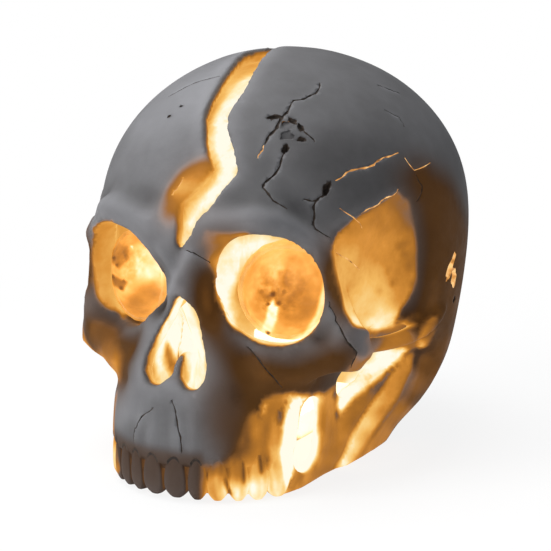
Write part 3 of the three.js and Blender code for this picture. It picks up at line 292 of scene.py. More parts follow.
master = copy_of("skull_shell", "master")
casting = copy_of("skull_shell", "casting")
rims = []
shape = bmesh.new()
shape.from_mesh(casting.data)
for edge in shape.edges:
    if len(edge.link_faces) == 2 and edge.calc_face_angle() > math.radians(SHARP_EDGE):
        start, end = (corner.co for corner in edge.verts)
        count = max(2, int((end - start).length / RIM_STEP))
        rims += [start.lerp(end, i / count) for i in range(count + 1)]
shape.free()
rim_tree = tree_of(rims)

casting.data.remesh_voxel_size = REMESH
bpy.ops.object.voxel_remesh()
apply(casting, "SHRINKWRAP", target=master, wrap_method="NEAREST_SURFACEPOINT")
bpy.data.objects.remove(master)
from_rims = [rim_tree.find(corner.co)[2] for corner in casting.data.vertices]
for name, start, growth, rounds in SMOOTHED:
    group = casting.vertex_groups.new(name=name)
    for i, away in enumerate(from_rims):
        group.add([i], min(1.0, max(0.0, (away - start) / growth)), "REPLACE")
    apply(casting, "SMOOTH", factor=0.5, iterations=rounds, vertex_group=name)
apply(casting, "SMOOTH", factor=0.5, iterations=3)
casting.vertex_groups.clear()
bpy.context.view_layer.update()


def bvh_of(piece):
    """A piece's surface, for rays to be cast at."""
    mesh = piece.data
    return BVHTree.FromPolygons([v.co for v in mesh.vertices], [p.vertices for p in mesh.polygons])


def corners_of(piece):
    """Places and normals of a piece's corners, as rows."""
    rows = []
    for name in ("co", "normal"):
        values = np.empty(len(piece.data.vertices) * 3)
        piece.data.vertices.foreach_get(name, values)
        rows.append(values.reshape(-1, 3))
    return rows


def drawn_at(places, side):
    """Where corners fall on the drawing of the skull's left side, in pixels of the picture.

    The right side, -1, takes the mirror image of the same drawing."""
    ways = places * (side, 1, 1) - np.array(eye_point)
    away = -(ways @ np.array(back))
    return (AXIS_PIXEL[0] + LENS_PIXELS * (ways @ np.array(across)) / away,
            AXIS_PIXEL[1] - LENS_PIXELS * (ways @ np.array(upward)) / away)


def facing(places, normals, side):
    """How squarely corners face the eye that looks at this side: 1 straight on, 0 edge on."""
    ways = np.array(eye_point) - places * (side, 1, 1)
    return (normals * (side, 1, 1) * ways).sum(1) / np.linalg.norm(ways, axis=1)


def rise_between(low, high, values):
    """0 up to low, 1 from high and a smooth rise between."""
    t = np.clip((values - low) / (high - low), 0, 1)
    return t * t * (3 - 2 * t)


def fall_between(low, high, values):
    """1 up to low, 0 from high and a smooth fall between."""
    return 1 - rise_between(low, high, values)


def away_from(route, px, py):
    """Pixels from a drawn line."""
    nearest = np.full(len(px), np.inf)
    for (x0, y0), (x1, y1) in zip(route, route[1:]):
        along, down = x1 - x0, y1 - y0
        t = np.clip(((px - x0) * along + (py - y0) * down) / (along ** 2 + down ** 2), 0, 1)
        nearest = np.minimum(nearest, np.hypot(px - x0 - t * along, py - y0 - t * down))
    return nearest


# strokes of the modelling tool: a line on the drawing, half its width in pixels and how far it
# stands out in mm
STROKE_FADE = (0.0, 0.3)
RELIEF = (
    # ridge of the brow and the hollow above it
    ([(205, 226), (225, 222), (250, 219), (280, 221), (305, 234), (322, 255)], 11, 1.5),
    ([(210, 204), (250, 196), (285, 203), (314, 222)], 11, -1.2),
    # lower rim of the eye hole, the cheekbone and the hollows round it
    ([(240, 336), (262, 348), (290, 349), (313, 339), (326, 315)], 4, 0.9),
    ([(270, 368), (300, 371), (325, 358), (342, 338)], 14, 1.9),
    ([(243, 396), (270, 402), (290, 404)], 10, -1.8),
    ([(246, 362), (256, 380)], 11, -1.4),
    # bridge of the nose and the groove beside it
    ([(191, 253), (186, 264), (178, 282), (172, 293)], 4, 1.3),
    ([(206, 276), (211, 295), (216, 315)], 7, -0.9),
    # roots of the front teeth and the furrows between them
    ([(152, 400), (149, 420), (147, 446)], 4, 0.6),
    ([(172, 404), (172, 425), (172, 448)], 4, 0.6),
    ([(194, 412), (194, 430), (193, 452)], 4, 0.6),
    ([(161, 404), (160, 425), (158, 446)], 3, -0.6),
    ([(183, 410), (183, 430), (183, 450)], 3, -0.6),
    # border of the temple in front, its hollow, and its border above
    ([(329, 240), (332, 266), (338, 290), (342, 312), (351, 329), (374, 335)], 4, 1.3),
    ([(341, 250), (348, 285), (353, 308), (374, 320)], 8, -1.6),
    ([(335, 230), (351, 217), (374, 204), (397, 189)], 3.5, 0.8),
    # two bars of the lower side and the gap between them
    ([(340, 455), (352, 424), (372, 392), (384, 378)], 6, 1.2),
    ([(336, 470), (351, 434), (366, 410), (386, 382)], 4, -1.3),
    ([(358, 450), (384, 414), (404, 372)], 9, 1.3),
    # knob behind the ear and the groove in front of it
    ([(428, 334), (432, 324)], 8, 1.2),
    ([(417, 350), (423, 327), (433, 314)], 3.5, -1.0),
)


def outer_corners(places):
    """1 for corners that lie on the outer skin as seen from all round, otherwise 0."""
    outer = np.zeros(len(places))
    for i, place in enumerate(places):
        way = (Vector(place) - CENTRE).normalized()
        hit = skin.ray_cast(CENTRE + way * FAR_OUT, -way)[0]
        outer[i] = hit is not None and (hit - Vector(place)).length < SKIN_ROOM
    return outer


skin = bvh_of(casting)
places, normals = corners_of(casting)
outer = outer_corners(places)
lift = np.zeros(len(places))
for side in (1, -1):
    px, py = drawn_at(places, side)
    touched = outer * rise_between(*STROKE_FADE, facing(places, normals, side))
    for route, half_width, proud in RELIEF:
        lift += proud / 1000 * touched * np.exp(-(away_from(route, px, py) / half_width) ** 2)
places = np.clip(places + normals * lift[:, None], np.array(cad_low), np.array(cad_high))
casting.data.vertices.foreach_set("co", places.ravel())
casting.data.update()
apply(casting, "SMOOTH", factor=0.5, iterations=2)
skin = bvh_of(casting)


def on_skin(turn, rise):
    """Point and normal of the outer skin in a direction, in degrees round from the face and up."""
    a, e = math.radians(turn), math.radians(rise)
    way = Vector((math.sin(a) * math.cos(e), -math.cos(a) * math.cos(e), math.sin(e)))
    point, normal, _, _ = skin.ray_cast(CENTRE + way * FAR_OUT, -way)
    return point, normal


# Tooth crowns: twelve rounded tongues cast with the skull, six a side. Each stands out of a
# socket groove in the gum and ends just above the table.
CROWN_TOP, CROWN_DEPTH, CROWN_FIT = 0.0184, 0.0076, 0.93
CROWN_ROUNDING, CROWN_GIRTH = 0.55, 0.56
GROOVE, GROOVE_DEPTH, SOCKET_DEPTH = 0.0008, 0.0010, 0.005
GUM_FRONT, TIP_DROP, TIP_LOWEST = 0.004, 0.0004, 0.0001
DARK_FLOOR_TO = 16
TEETH = (
    # x and y of the crown's middle, turn from the face, width and height of the tip, in mm and degrees
    (4.64, -88.74, 7.0, 9.2, 1.48),
    (12.55, -86.96, 18.9, 7.0, 1.37),
    (19.31, -83.96, 29.6, 7.8, 1.18),
    (25.52, -79.64, 40.6, 7.4, 0.91),
    (30.68, -74.34, 51.4, 7.4, 0.57),
    (35.28, -67.19, 63.8, 9.6, 0.12),
)
CROWN_LEVELS = (
    # a height on the crown, and how wide and deep the crown is there
    (0.5, 0.32, 0.60), (0.375, 0.68, 0.78), (0.25, 0.85, 0.84), (0.125, 0.96, 0.87), (0.0, 1.03, 0.89),
    (-0.125, 1.07, 0.89), (-0.25, 1.04, 0.87), (-0.375, 0.88, 0.80), (-0.5, 0.38, 0.50),
)


def choose(piece, test):
    """In edit mode, selects the corners whose place passes a test."""
    shape = bmesh.from_edit_mesh(piece.data)
    for corner in shape.verts:
        corner.select = test(corner.co)
    shape.select_mode = {"VERT"}
    shape.select_flush_mode()
    bmesh.update_edit_mesh(piece.data)


bpy.ops.object.select_all(action="DESELECT")
bpy.ops.mesh.primitive_cube_add(size=1)
crown = bpy.context.object
bpy.ops.object.mode_set(mode="EDIT")
bpy.ops.mesh.subdivide(number_cuts=len(CROWN_LEVELS) - 2)
bpy.ops.object.mode_set(mode="OBJECT")
apply(crown, "CAST", cast_type="CYLINDER", factor=CROWN_ROUNDING, size=CROWN_GIRTH, use_z=False)
bpy.ops.object.mode_set(mode="EDIT")
for level, wide, deep in CROWN_LEVELS:
    choose(crown, lambda place: abs(place.z - level) < 0.01)
    bpy.ops.transform.resize(value=(wide, deep, 1), center_override=(0, 0, level))
bpy.ops.object.mode_set(mode="OBJECT")
apply(crown, "SUBSURF", levels=1, render_levels=1)


def tooth(x, y, turned, low, high, width, depth, forward, finish):
    """A copy of the crown, stretched to a size and set in the row."""
    piece = bpy.data.objects.new("tooth", crown.data.copy())
    bpy.context.scene.collection.objects.link(piece)
    place = Matrix.Translation((x, y, (low + high) / 2)) @ Matrix.Rotation(turned, 4, "Z")
    stretch = Matrix.Diagonal((width, depth, high - low, 1))
    piece.data.transform(place @ Matrix.Translation((0, -forward, 0)) @ stretch)
    piece.data.materials.append(finish.material)
    return piece


def combine(piece, others, operation):
    """Joins closed pieces that don't touch each other to this one, or cuts them out of it."""
    pick(others[0])
    for other in others:
        other.select_set(True)
    bpy.ops.object.join()
    apply(piece, "BOOLEAN", operation=operation, solver="MANIFOLD", object=others[0],
          material_mode="TRANSFER")
    bpy.data.objects.remove(others[0])


# near-black floor for the cut cracks, the chips and the sockets of the front and right teeth
soot = Finish("dark_crack_floor", Roughness=0.9)
soot.feed("Base Color", soot.ramp(
    soot.noise(700), (0.3, (0.014, 0.010, 0.008)), (0.7, (0.05, 0.032, 0.021))))
stone = Finish("stone_grey_paint", Emission_Strength=1.0, Specular_IOR_Level=0.07)
casting.data.materials.clear()
casting.data.materials.append(stone.material)
socket_forward = GUM_FRONT + SOCKET_DEPTH / 2 - GROOVE_DEPTH
for operation in ("DIFFERENCE", "UNION"):
    for first in (0, 1):
        pieces = []
        for side in (1, -1):
            for x, y, turned, width, tip in TEETH[first::2]:
                low, wide = max(TIP_LOWEST, tip / 1000 - TIP_DROP), width / 1000
                spot = (side * x / 1000, y / 1000, side * math.radians(turned), low)
                if operation == "DIFFERENCE":
                    floor = soot if side * x < DARK_FLOOR_TO else stone
                    form = (CROWN_TOP + GROOVE, wide + GROOVE, SOCKET_DEPTH, socket_forward, floor)
                else:
                    form = (CROWN_TOP, wide * CROWN_FIT, CROWN_DEPTH, 0, stone)
                pieces.append(tooth(*spot, *form))
        combine(casting, pieces, operation)
bpy.data.objects.remove(crown)


# Chips and pits: flakes knocked out of the skin with a chisel before it was painted. The deep
# ones let light through.
CHIPS = (
    # turn and rise, half width, half height and depth in mm, spin, and the finish of the floor
    (70.7, 40.6, 1.5, 2.6, 2.2, -30, "soot"),
    (57.9, 55.7, 1.2, 2.2, 1.8, -20, "soot"),
    (59.0, 66.6, 2.4, 1.3, 1.0, 20, "soot"),
    (64.6, 62.4, 2.6, 2.2, 0.5, 0, "stone"),
    (68.6, 63.2, 1.1, 2.2, 1.1, 40, "soot"),
    (70.6, 60.2, 1.3, 1.8, 1.2, 20, "soot"),
    (61.2, 59.8, 3.2, 2.2, 0.6, 30, "stone"),
    (123.2, 4.4, 2.2, 6.4, 1.6, -30, "ember"),
    (126.0, 1.2, 3.0, 4.6, 1.4, 25, "ember"),
    (129.2, -5.2, 1.3, 1.6, 1.3, 0, "soot"),
    (67.6, 56.8, 1.6, 1.1, 0.9, 0, "soot"),
    (-39.3, 68.5, 0.9, 0.7, 0.7, 0, "soot"),
    (-37.5, 72.8, 0.7, 0.6, 0.6, 0, "soot"),
)
LUMP_SCALE, LUMP_DEPTH, LUMP_APART = 1.3, 0.55, 3.7
ember = Finish("light_in_cracks", Roughness=0.6, Emission_Strength=1.0)
flicker = ember.noise(260, 3)
ember.feed("Base Color", ember.ramp(flicker, (0.3, (0.12, 0.05, 0.015)), (0.7, (0.3, 0.14, 0.04))))
ember.feed("Emission Color", ember.ramp(
    flicker, (0.32, (0.16, 0.06, 0.015)), (0.48, (0.6, 0.27, 0.06)), (0.64, (0.9, 0.56, 0.22))))
floors = {"soot": soot, "ember": ember, "stone": stone}

flakes = []
for number, (round_from_face, up, wide, high, deep, spin, floor) in enumerate(CHIPS):
    bpy.ops.object.select_all(action="DESELECT")
    bpy.ops.mesh.primitive_ico_sphere_add(subdivisions=3, radius=1)
    flake = bpy.context.object
    for corner in flake.data.vertices:
        lump = noise.noise(corner.co * LUMP_SCALE + Vector((LUMP_APART * number, 0, 0)))
        corner.co *= 1 + LUMP_DEPTH * lump
    spot, normal = on_skin(round_from_face, up)
    place = Matrix.Translation(spot) @ normal.to_track_quat("Z", "Y").to_matrix().to_4x4()
    stretch = Matrix.Diagonal((wide / 1000, high / 1000, deep / 1000, 1))
    flake.data.transform(place @ Matrix.Rotation(math.radians(spin), 4, "Z") @ stretch)
    flake.data.materials.append(floors[floor].material)
    flakes.append(flake)
combine(casting, flakes[::2], "DIFFERENCE")
combine(casting, flakes[1::2], "DIFFERENCE")


# Hairlines: cracks in the paint and the top of the resin, scratched with a graver. Some go
# deep enough for the light to show.
HAIRLINES = {
    # half a line's width, and its route as turn and rise on the skin
    "dark_1": [
        (0.8, [(107.9, 67.8), (95.8, 66.6), (87.2, 67.3), (79.4, 68.8), (68.2, 66.1)]),
        (1.0, [(58.2, 55.9), (53, 51.2), (46.3, 47.8), (43.4, 45.7), (47, 40.5), (52.5, 37.3)]),
        (1.0, [(70, 39.7), (67.3, 39), (64.2, 36.6), (63.6, 32.5), (63.1, 29.4), (67.4, 25.3)]),
        (0.6, [(108.1, 33.6), (109.9, 29.9), (108.1, 27)]),
        (0.55, [(-73, 70.1), (-71.8, 74.1), (-72.7, 80.1), (-66.9, 85.9)]),
        (0.6, [(36.2, -17.8), (41, -21.2), (46.8, -26.4), (50.9, -30.8)]),
        (0.7, [(68, 3.2), (68.9, -3.5), (70.1, -9.6), (73.3, -13.2), (73.1, -19)]),
        (0.6, [(-6.7, -36), (-13.1, -39.2), (-15.6, -41.1), (-15.5, -43.6)]),
        (0.65, [(2.2, -33.6), (4.9, -36.4), (7.9, -40.8), (8.3, -43.9)]),
        (0.4, [(114.8, 50.7), (117.4, 46.6), (115.5, 44.4)]),
    ],
    "dark_2": [
        (1.35, [(69.5, 66.8), (67.7, 66.3), (59.1, 63.9), (52.8, 61.6), (48, 59)]),
        (0.8, [(70.6, 60), (72.2, 57), (73.3, 54.7)]),
        (0.7, [(67.3, 39), (63.8, 38.5), (60.7, 39.7)]),
        (0.4, [(128.8, 54.2), (132.3, 48.6)]),
        (0.5, [(5.6, 26.5), (10.3, 25.5), (20, 21.6)]),
    ],
    "lit": [
        (0.75, [(75.2, 42.1), (80.6, 43), (86.7, 42.4), (92.8, 41.5), (97.8, 41.9), (105, 40.7)]),
        (0.45, [(106.5, 38.7), (108.1, 34.6), (116.6, 33.4)]),
        (0.5, [(74.4, 34.1), (78.2, 30.5), (82, 28.2), (83.5, 26.3)]),
        (0.65, [(82.4, 30.5), (87.9, 31.1), (92.2, 31.9), (97.5, 31.8), (99.5, 32.7)]),
        (0.5, [(69.8, 21.3), (77, 18.1), (85.7, 12.7)]),
        (0.4, [(-4.4, 45.4), (-2.5, 47.1), (0.4, 51.3)]),
        (0.45, [(47.2, 58.8), (45, 57), (42.8, 55.2)]),
    ],
}
BENDS, WANDER = 4, 0.4
WIRE_RADIUS, WIRE_SHARE, WIRE_PROUD = 0.001, 0.58, 0.00005


def scratches(name, lines):
    """One cutter of tapered, slightly wandering wires that lie half in the skin."""
    wires = bpy.data.curves.new(name, "CURVE")
    wires.dimensions, wires.bevel_depth, wires.bevel_resolution = "3D", WIRE_RADIUS, 1
    wires.use_fill_caps = True
    for number, (half_width, route) in enumerate(lines):
        points = []
        for (a0, e0), (a1, e1) in zip(route, route[1:]):
            for k in range(BENDS):
                t = k / BENDS
                wander = WANDER * math.sin(7.1 * len(points) + 3 * number) * (k != 0)
                points.append((a0 + (a1 - a0) * t + wander, e0 + (e1 - e0) * t - 0.6 * wander))
        points.append(route[-1])
        line = wires.splines.new("POLY")
        line.points.add(len(points) - 1)
        for i, (point, (a, e)) in enumerate(zip(line.points, points)):
            spot, normal = on_skin(a, e)
            taper = 0.35 + 0.65 * math.sin(math.pi * (i + 0.4) / (len(points) - 0.2)) ** 0.5
            uneven = 0.8 + 0.3 * math.sin(2.3 * i + number)
            point.co = (*(spot + normal * WIRE_PROUD), 1)
            point.radius = WIRE_SHARE * half_width * taper * uneven
    cutter = bpy.data.objects.new(name, wires)
    bpy.context.scene.collection.objects.link(cutter)
    pick(cutter)
    bpy.ops.object.convert(target="MESH")
    cutter = bpy.context.object
    bpy.ops.object.mode_set(mode="EDIT")
    bpy.ops.mesh.select_all(action="SELECT")
    bpy.ops.mesh.remove_doubles(threshold=1e-7)
    bpy.ops.mesh.normals_make_consistent(inside=False)
    bpy.ops.object.mode_set(mode="OBJECT")
    return cutter


for name, lines in HAIRLINES.items():
    cutter = scratches("scratch_" + name, lines)
    cutter.data.materials.append((ember if name == "lit" else soot).material)
    combine(casting, [cutter], "DIFFERENCE")


# Light in the casting: the lamp shows through thin resin, with brown painted shade and a dim painted glow
# round it, in patches drawn over the skull's left side and mirrored. In the openings it follows how little
# sky a point sees and how deep the point lies.
RAYS, SKY_REACH, RAY_START = 16, 0.2, 0.0004
MOST_FACES, RIM_ROOM = 190000, 0.004
OPEN_FROM, RIDGE_LEAST, RIDGE_ROUNDS = 0.66, 0.00012, 24

# the inside, which shows only through the holes, keeps fewer faces
places, normals = corners_of(casting)
inner = np.flatnonzero(outer_corners(places) == 0)
hidden = [int(i) for i in inner if rim_tree.find(places[i])[2] > RIM_ROOM]
inside = casting.vertex_groups.new(name="inside")
inside.add(hidden, 1.0, "REPLACE")
faces = sum(len(face.vertices) - 2 for face in casting.data.polygons)
apply(casting, "DECIMATE", ratio=min(1, MOST_FACES / faces), vertex_group="inside",
      vertex_group_factor=1000)
casting.vertex_groups.clear()
places, normals = corners_of(casting)
corners = len(places)
tangents = np.cross(normals, np.where(np.abs(normals[:, 2:]) < 0.9, [[0, 0, 1]], [[1, 0, 0]]))
tangents /= np.linalg.norm(tangents, axis=1, keepdims=True) + 1e-12
cross = np.cross(normals, tangents)
ray_rise = np.sqrt(1 - (np.arange(RAYS) + 0.5) / RAYS)
ray_turn = np.arange(RAYS) * math.pi * (3 - math.sqrt(5))
ray_flat = np.sqrt(1 - ray_rise ** 2)
walls = bvh_of(casting)
openness = np.zeros(corners)
for i in range(corners):
    origin = Vector(places[i] + normals[i] * RAY_START)
    ways = (np.outer(ray_flat * np.cos(ray_turn), tangents[i])
            + np.outer(ray_flat * np.sin(ray_turn), cross[i]) + np.outer(ray_rise, normals[i]))
    openness[i] = sum(walls.ray_cast(origin, Vector(way), SKY_REACH)[0] is None for way in ways) / RAYS

ends = np.empty(len(casting.data.edges) * 2, int)
casting.data.edges.foreach_get("vertices", ends)
ends = ends.reshape(-1, 2)
degree = np.bincount(ends.ravel(), minlength=corners) + 1


def spread(values, times):
    """Averages a value at each corner with its neighbours, several times over."""
    for _ in range(times):
        total = values + np.bincount(ends[:, 0], values[ends[:, 1]], corners)
        values = (total + np.bincount(ends[:, 1], values[ends[:, 0]], corners)) / degree
    return values


openness = spread(openness, 3)
open_tree = tree_of(places[openness > OPEN_FROM])
depth = np.array([open_tree.find(place)[2] for place in places])
smoothed = np.column_stack([spread(places[:, k], RIDGE_ROUNDS) for k in range(3)])
ridge = ((places - smoothed) * normals).sum(1)
ridge = np.sign(ridge) * np.maximum(np.abs(ridge) - RIDGE_LEAST, 0)


def within(outline, px, py):
    """Pixels inside a drawn outline; outside it, less than nothing."""
    crossings = np.zeros(len(px), bool)
    for (x0, y0), (x1, y1) in zip(outline, outline[1:] + outline[:1]):
        straddles = (y0 > py) != (y1 > py)
        crossings ^= straddles & (px < (x1 - x0) * (py - y0) / (y1 - y0 or 1e-9) + x0)
    nearest = away_from(outline + outline[:1], px, py)
    return np.where(crossings, nearest, -nearest)


TONE_BLUR = 20


def tinted(glow, layers, px, py, reached):
    """Lays drawn patches over each other, of painted lamplight and of painted shade and highlight: outline,
    soft edge, and tones at places.
    """
    for outline, (soft_left, soft_right), tones in layers:
        left, right = min(x for x, _ in outline), max(x for x, _ in outline)
        edge = np.interp(px, (left, right), (soft_left, soft_right))
        weight = total = 0
        for x, y, tone in tones:
            near = 1 / ((px - x) ** 2 + (py - y) ** 2 + TONE_BLUR) ** 1.5
            weight, total = weight + near, total + near * tone
        cover = reached * rise_between(-edge / 2, edge / 2, within(outline, px, py))
        glow = glow + (total / weight - glow) * cover
    return glow


def dotted(glow, dots, px, py, reached):
    """Adds drawn dots: place, radius and tone."""
    for x, y, radius, tone in dots:
        dot = reached * fall_between(0.5 * radius, 1.2 * radius, np.hypot(px - x, py - y))
        glow = glow + (tone - glow) * dot
    return glow


# patches on the drawing: an outline, how soft its left and right edges are in pixels, and tones at places
# in it, where 1 is nearly white. These first ones are painted shade in brown, with a dim painted glow of
# lamplight.
SHADE_AND_SPILL = [
    # behind the temple
    ([(392, 178), (420, 158), (452, 178), (473, 230), (478, 300), (460, 352), (430, 362), (410, 346),
      (405, 330), (415, 300), (420, 250), (412, 205)], (16, 10),
     [(425, 230, 0.33), (440, 270, 0.34), (430, 305, 0.38), (452, 320, 0.35), (425, 195, 0.31),
      (456, 230, 0.33), (442, 200, 0.34)]),
    # rear of the lower side
    ([(362, 462), (384, 432), (408, 394), (418, 366), (432, 350), (452, 336), (448, 366), (436, 400),
      (420, 426), (402, 448), (376, 466)], (4, 4), [(410, 410, 0.4)]),
    # cheekbone, and the strip in front of the temple
    ([(226, 336), (245, 352), (270, 356), (300, 358), (325, 342), (345, 340), (357, 352), (346, 374),
      (326, 392), (300, 398), (275, 398), (262, 408), (246, 420), (230, 404), (226, 370)], (8, 6),
     [(250, 357, 0.42), (300, 368, 0.37), (310, 386, 0.4), (262, 382, 0.38), (330, 358, 0.34),
      (235, 392, 0.27), (282, 374, 0.36), (345, 360, 0.42)]),
    ([(322, 238), (333, 240), (342, 290), (352, 330), (344, 332), (334, 306), (328, 280)], (4, 4),
     [(330, 268, 0.74), (337, 300, 0.66), (330, 245, 0.46)]),
]
# brown painted shade and dim painted lamplight that the mirror image doesn't repeat
SHADE_AND_SPILL_FACE = [
    # beside the nose
    ([(198, 262), (212, 276), (218, 300), (225, 330), (238, 350), (225, 362), (211, 345), (200, 320),
      (192, 290)], (6, 6), [(204, 285, 0.5), (206, 302, 0.56), (212, 318, 0.5), (223, 345, 0.4)]),
    # upper jaw towards the lit teeth
    ([(208, 372), (232, 376), (250, 400), (245, 430), (230, 452), (212, 448), (204, 420),
      (203, 390)], (10, 10), [(225, 410, 0.24), (235, 430, 0.3), (215, 395, 0.2)]),
    # cheek under the right eye hole, inner corner of the left one, and the gum over the lit teeth
    ([(88, 318), (104, 318), (120, 326), (126, 340), (122, 362), (120, 388), (114, 380), (106, 366),
      (95, 362), (86, 340)], (4, 4), [(105, 350, 0.4)]),
    ([(206, 236), (226, 231), (246, 232), (262, 238), (240, 251), (226, 263), (217, 278),
      (210, 262)], (4, 4), [(225, 245, 0.42)]),
    ([(234, 458), (246, 434), (252, 416), (262, 408), (284, 430), (283, 470), (288, 500), (204, 505),
      (204, 470)], (4, 4), [(250, 460, 0.44)]),
]
# thin resin beside the crack, blurred wider than its outline
HALO = [
    ([(150, 234), (158, 204), (176, 178), (194, 156), (206, 146), (213, 172), (200, 190), (180, 208),
      (176, 244)], (14, 4),
     [(203, 162, 0.84), (183, 188, 0.92), (170, 208, 0.84), (164, 230, 0.64), (177, 208, 1.1),
      (198, 185, 1.1)]),
]
# glowing places of both sides
SIDES = [
    # cheek arch
    ([(357, 352), (364, 334), (384, 326), (400, 322), (408, 312), (418, 310), (428, 320), (422, 343),
      (412, 352), (402, 347), (392, 353), (382, 363), (366, 378), (350, 388), (336, 397), (345, 378),
      (352, 366)], (3, 6),
     [(362, 350, 0.28), (375, 341, 0.38), (392, 341, 0.58), (405, 335, 0.56), (417, 328, 0.34),
      (385, 353, 0.64), (372, 366, 0.66), (355, 380, 0.72), (345, 388, 0.8), (352, 368, 0.5)]),
    # temple
    ([(331, 252), (332, 243), (337, 232), (350, 220), (375, 206), (398, 189), (411, 200), (416, 220),
      (419, 250), (418, 282), (410, 300), (401, 312), (395, 326), (376, 332), (353, 327), (344, 312),
      (340, 290), (334, 268)], (2, 9),
     [(336, 242, 0.7), (350, 228, 0.64), (340, 262, 0.74), (350, 290, 0.76), (362, 311, 0.84),
      (375, 326, 0.97), (355, 323, 0.94), (393, 323, 0.93), (380, 282, 0.79), (400, 250, 0.69),
      (405, 275, 0.63), (413, 260, 0.56), (390, 220, 0.63), (400, 202, 0.5), (410, 216, 0.44),
      (370, 240, 0.72), (404, 300, 0.68), (346, 308, 0.82)]),
    # bright lower edge of the cheekbone
    ([(288, 392), (310, 394), (324, 391), (336, 383), (346, 370), (354, 355), (359, 356), (350, 375),
      (340, 389), (326, 398), (310, 400), (288, 398)], (2.5, 2.5),
     [(300, 396, 0.7), (325, 394, 0.62), (345, 376, 0.56), (356, 356, 0.5)]),
    # rear of the lower side, its two bars and the bright gaps in front of them
    ([(350, 462), (376, 430), (402, 392), (412, 370), (418, 352), (432, 346), (452, 332), (448, 366),
      (436, 400), (420, 426), (402, 448), (376, 466), (352, 480)], (6, 10),
     [(385, 435, 0.6), (400, 412, 0.54), (415, 385, 0.46), (425, 365, 0.42), (420, 400, 0.37),
      (437, 350, 0.34), (402, 434, 0.42), (375, 450, 0.62)]),
    ([(335, 470), (345, 450), (352, 432), (365, 411), (384, 383), (390, 372), (400, 360), (408, 352),
      (415, 352), (412, 370), (402, 392), (390, 410), (376, 430), (362, 450), (352, 464), (343, 482),
      (334, 482)], (2, 5),
     [(339, 466, 0.97), (349, 446, 0.94), (361, 421, 0.9), (372, 402, 0.8), (388, 381, 0.7),
      (402, 362, 0.66), (405, 380, 0.61), (387, 412, 0.66), (368, 440, 0.72), (357, 455, 0.8)]),
    ([(338, 414), (350, 400), (383, 376), (386, 381), (366, 409), (352, 432), (345, 450), (335, 470),
      (330, 474), (333, 440)], (2, 2),
     [(343, 416, 0.64), (362, 398, 0.54), (379, 383, 0.38), (355, 421, 0.54), (344, 448, 0.6),
      (336, 436, 0.66), (336, 464, 0.58)]),
    ([(336, 410), (338, 397), (350, 387), (368, 377), (385, 360), (395, 350), (403, 346), (409, 350),
      (397, 362), (383, 377), (365, 390), (350, 401), (340, 413)], (2, 2.5),
     [(343, 401, 1.1), (360, 389, 0.96), (380, 369, 0.94), (398, 353, 1.02), (406, 350, 0.9)]),
    # knob behind the ear
    ([(417, 350), (418, 338), (424, 325), (431, 316), (437, 315), (439, 324), (434, 337),
      (426, 347)], (2, 4),
     [(420, 346, 0.8), (423, 331, 0.68), (433, 318, 0.62), (430, 335, 0.46), (436, 323, 0.4)]),
    # pillar and the open slot behind the teeth
    ([(311, 396), (318, 393), (336, 395), (338, 400), (336, 412), (338, 430), (336, 455), (333, 472),
      (322, 482), (322, 492), (300, 500), (284, 500), (296, 465), (303, 440), (309, 420)], (2, 3),
     [(316, 402, 0.8), (322, 415, 0.62), (331, 405, 0.64), (317, 440, 0.68), (311, 460, 0.72),
      (327, 452, 0.57), (331, 430, 0.6), (326, 472, 0.54), (300, 480, 0.66), (306, 452, 0.78)]),
    ([(293, 396), (311, 397), (309, 420), (303, 440), (296, 465), (288, 487), (284, 500), (280, 490),
      (280, 472), (277, 450), (280, 430), (285, 410)], (2, 2),
     [(300, 405, 1.06), (295, 430, 1.12), (286, 460, 1.12)]),
]
# burnt spots in the temple: place, radius and tone
STAINS = [
    (400, 246, 5, 0.52), (404, 254, 4, 0.5), (389, 271, 4, 0.6), (393, 283, 5, 0.58), (379, 291, 3, 0.6),
    (409, 267, 4, 0.5), (385, 262, 3, 0.62), (413, 284, 4, 0.5), (397, 276, 3, 0.56), (406, 242, 3, 0.46),
]
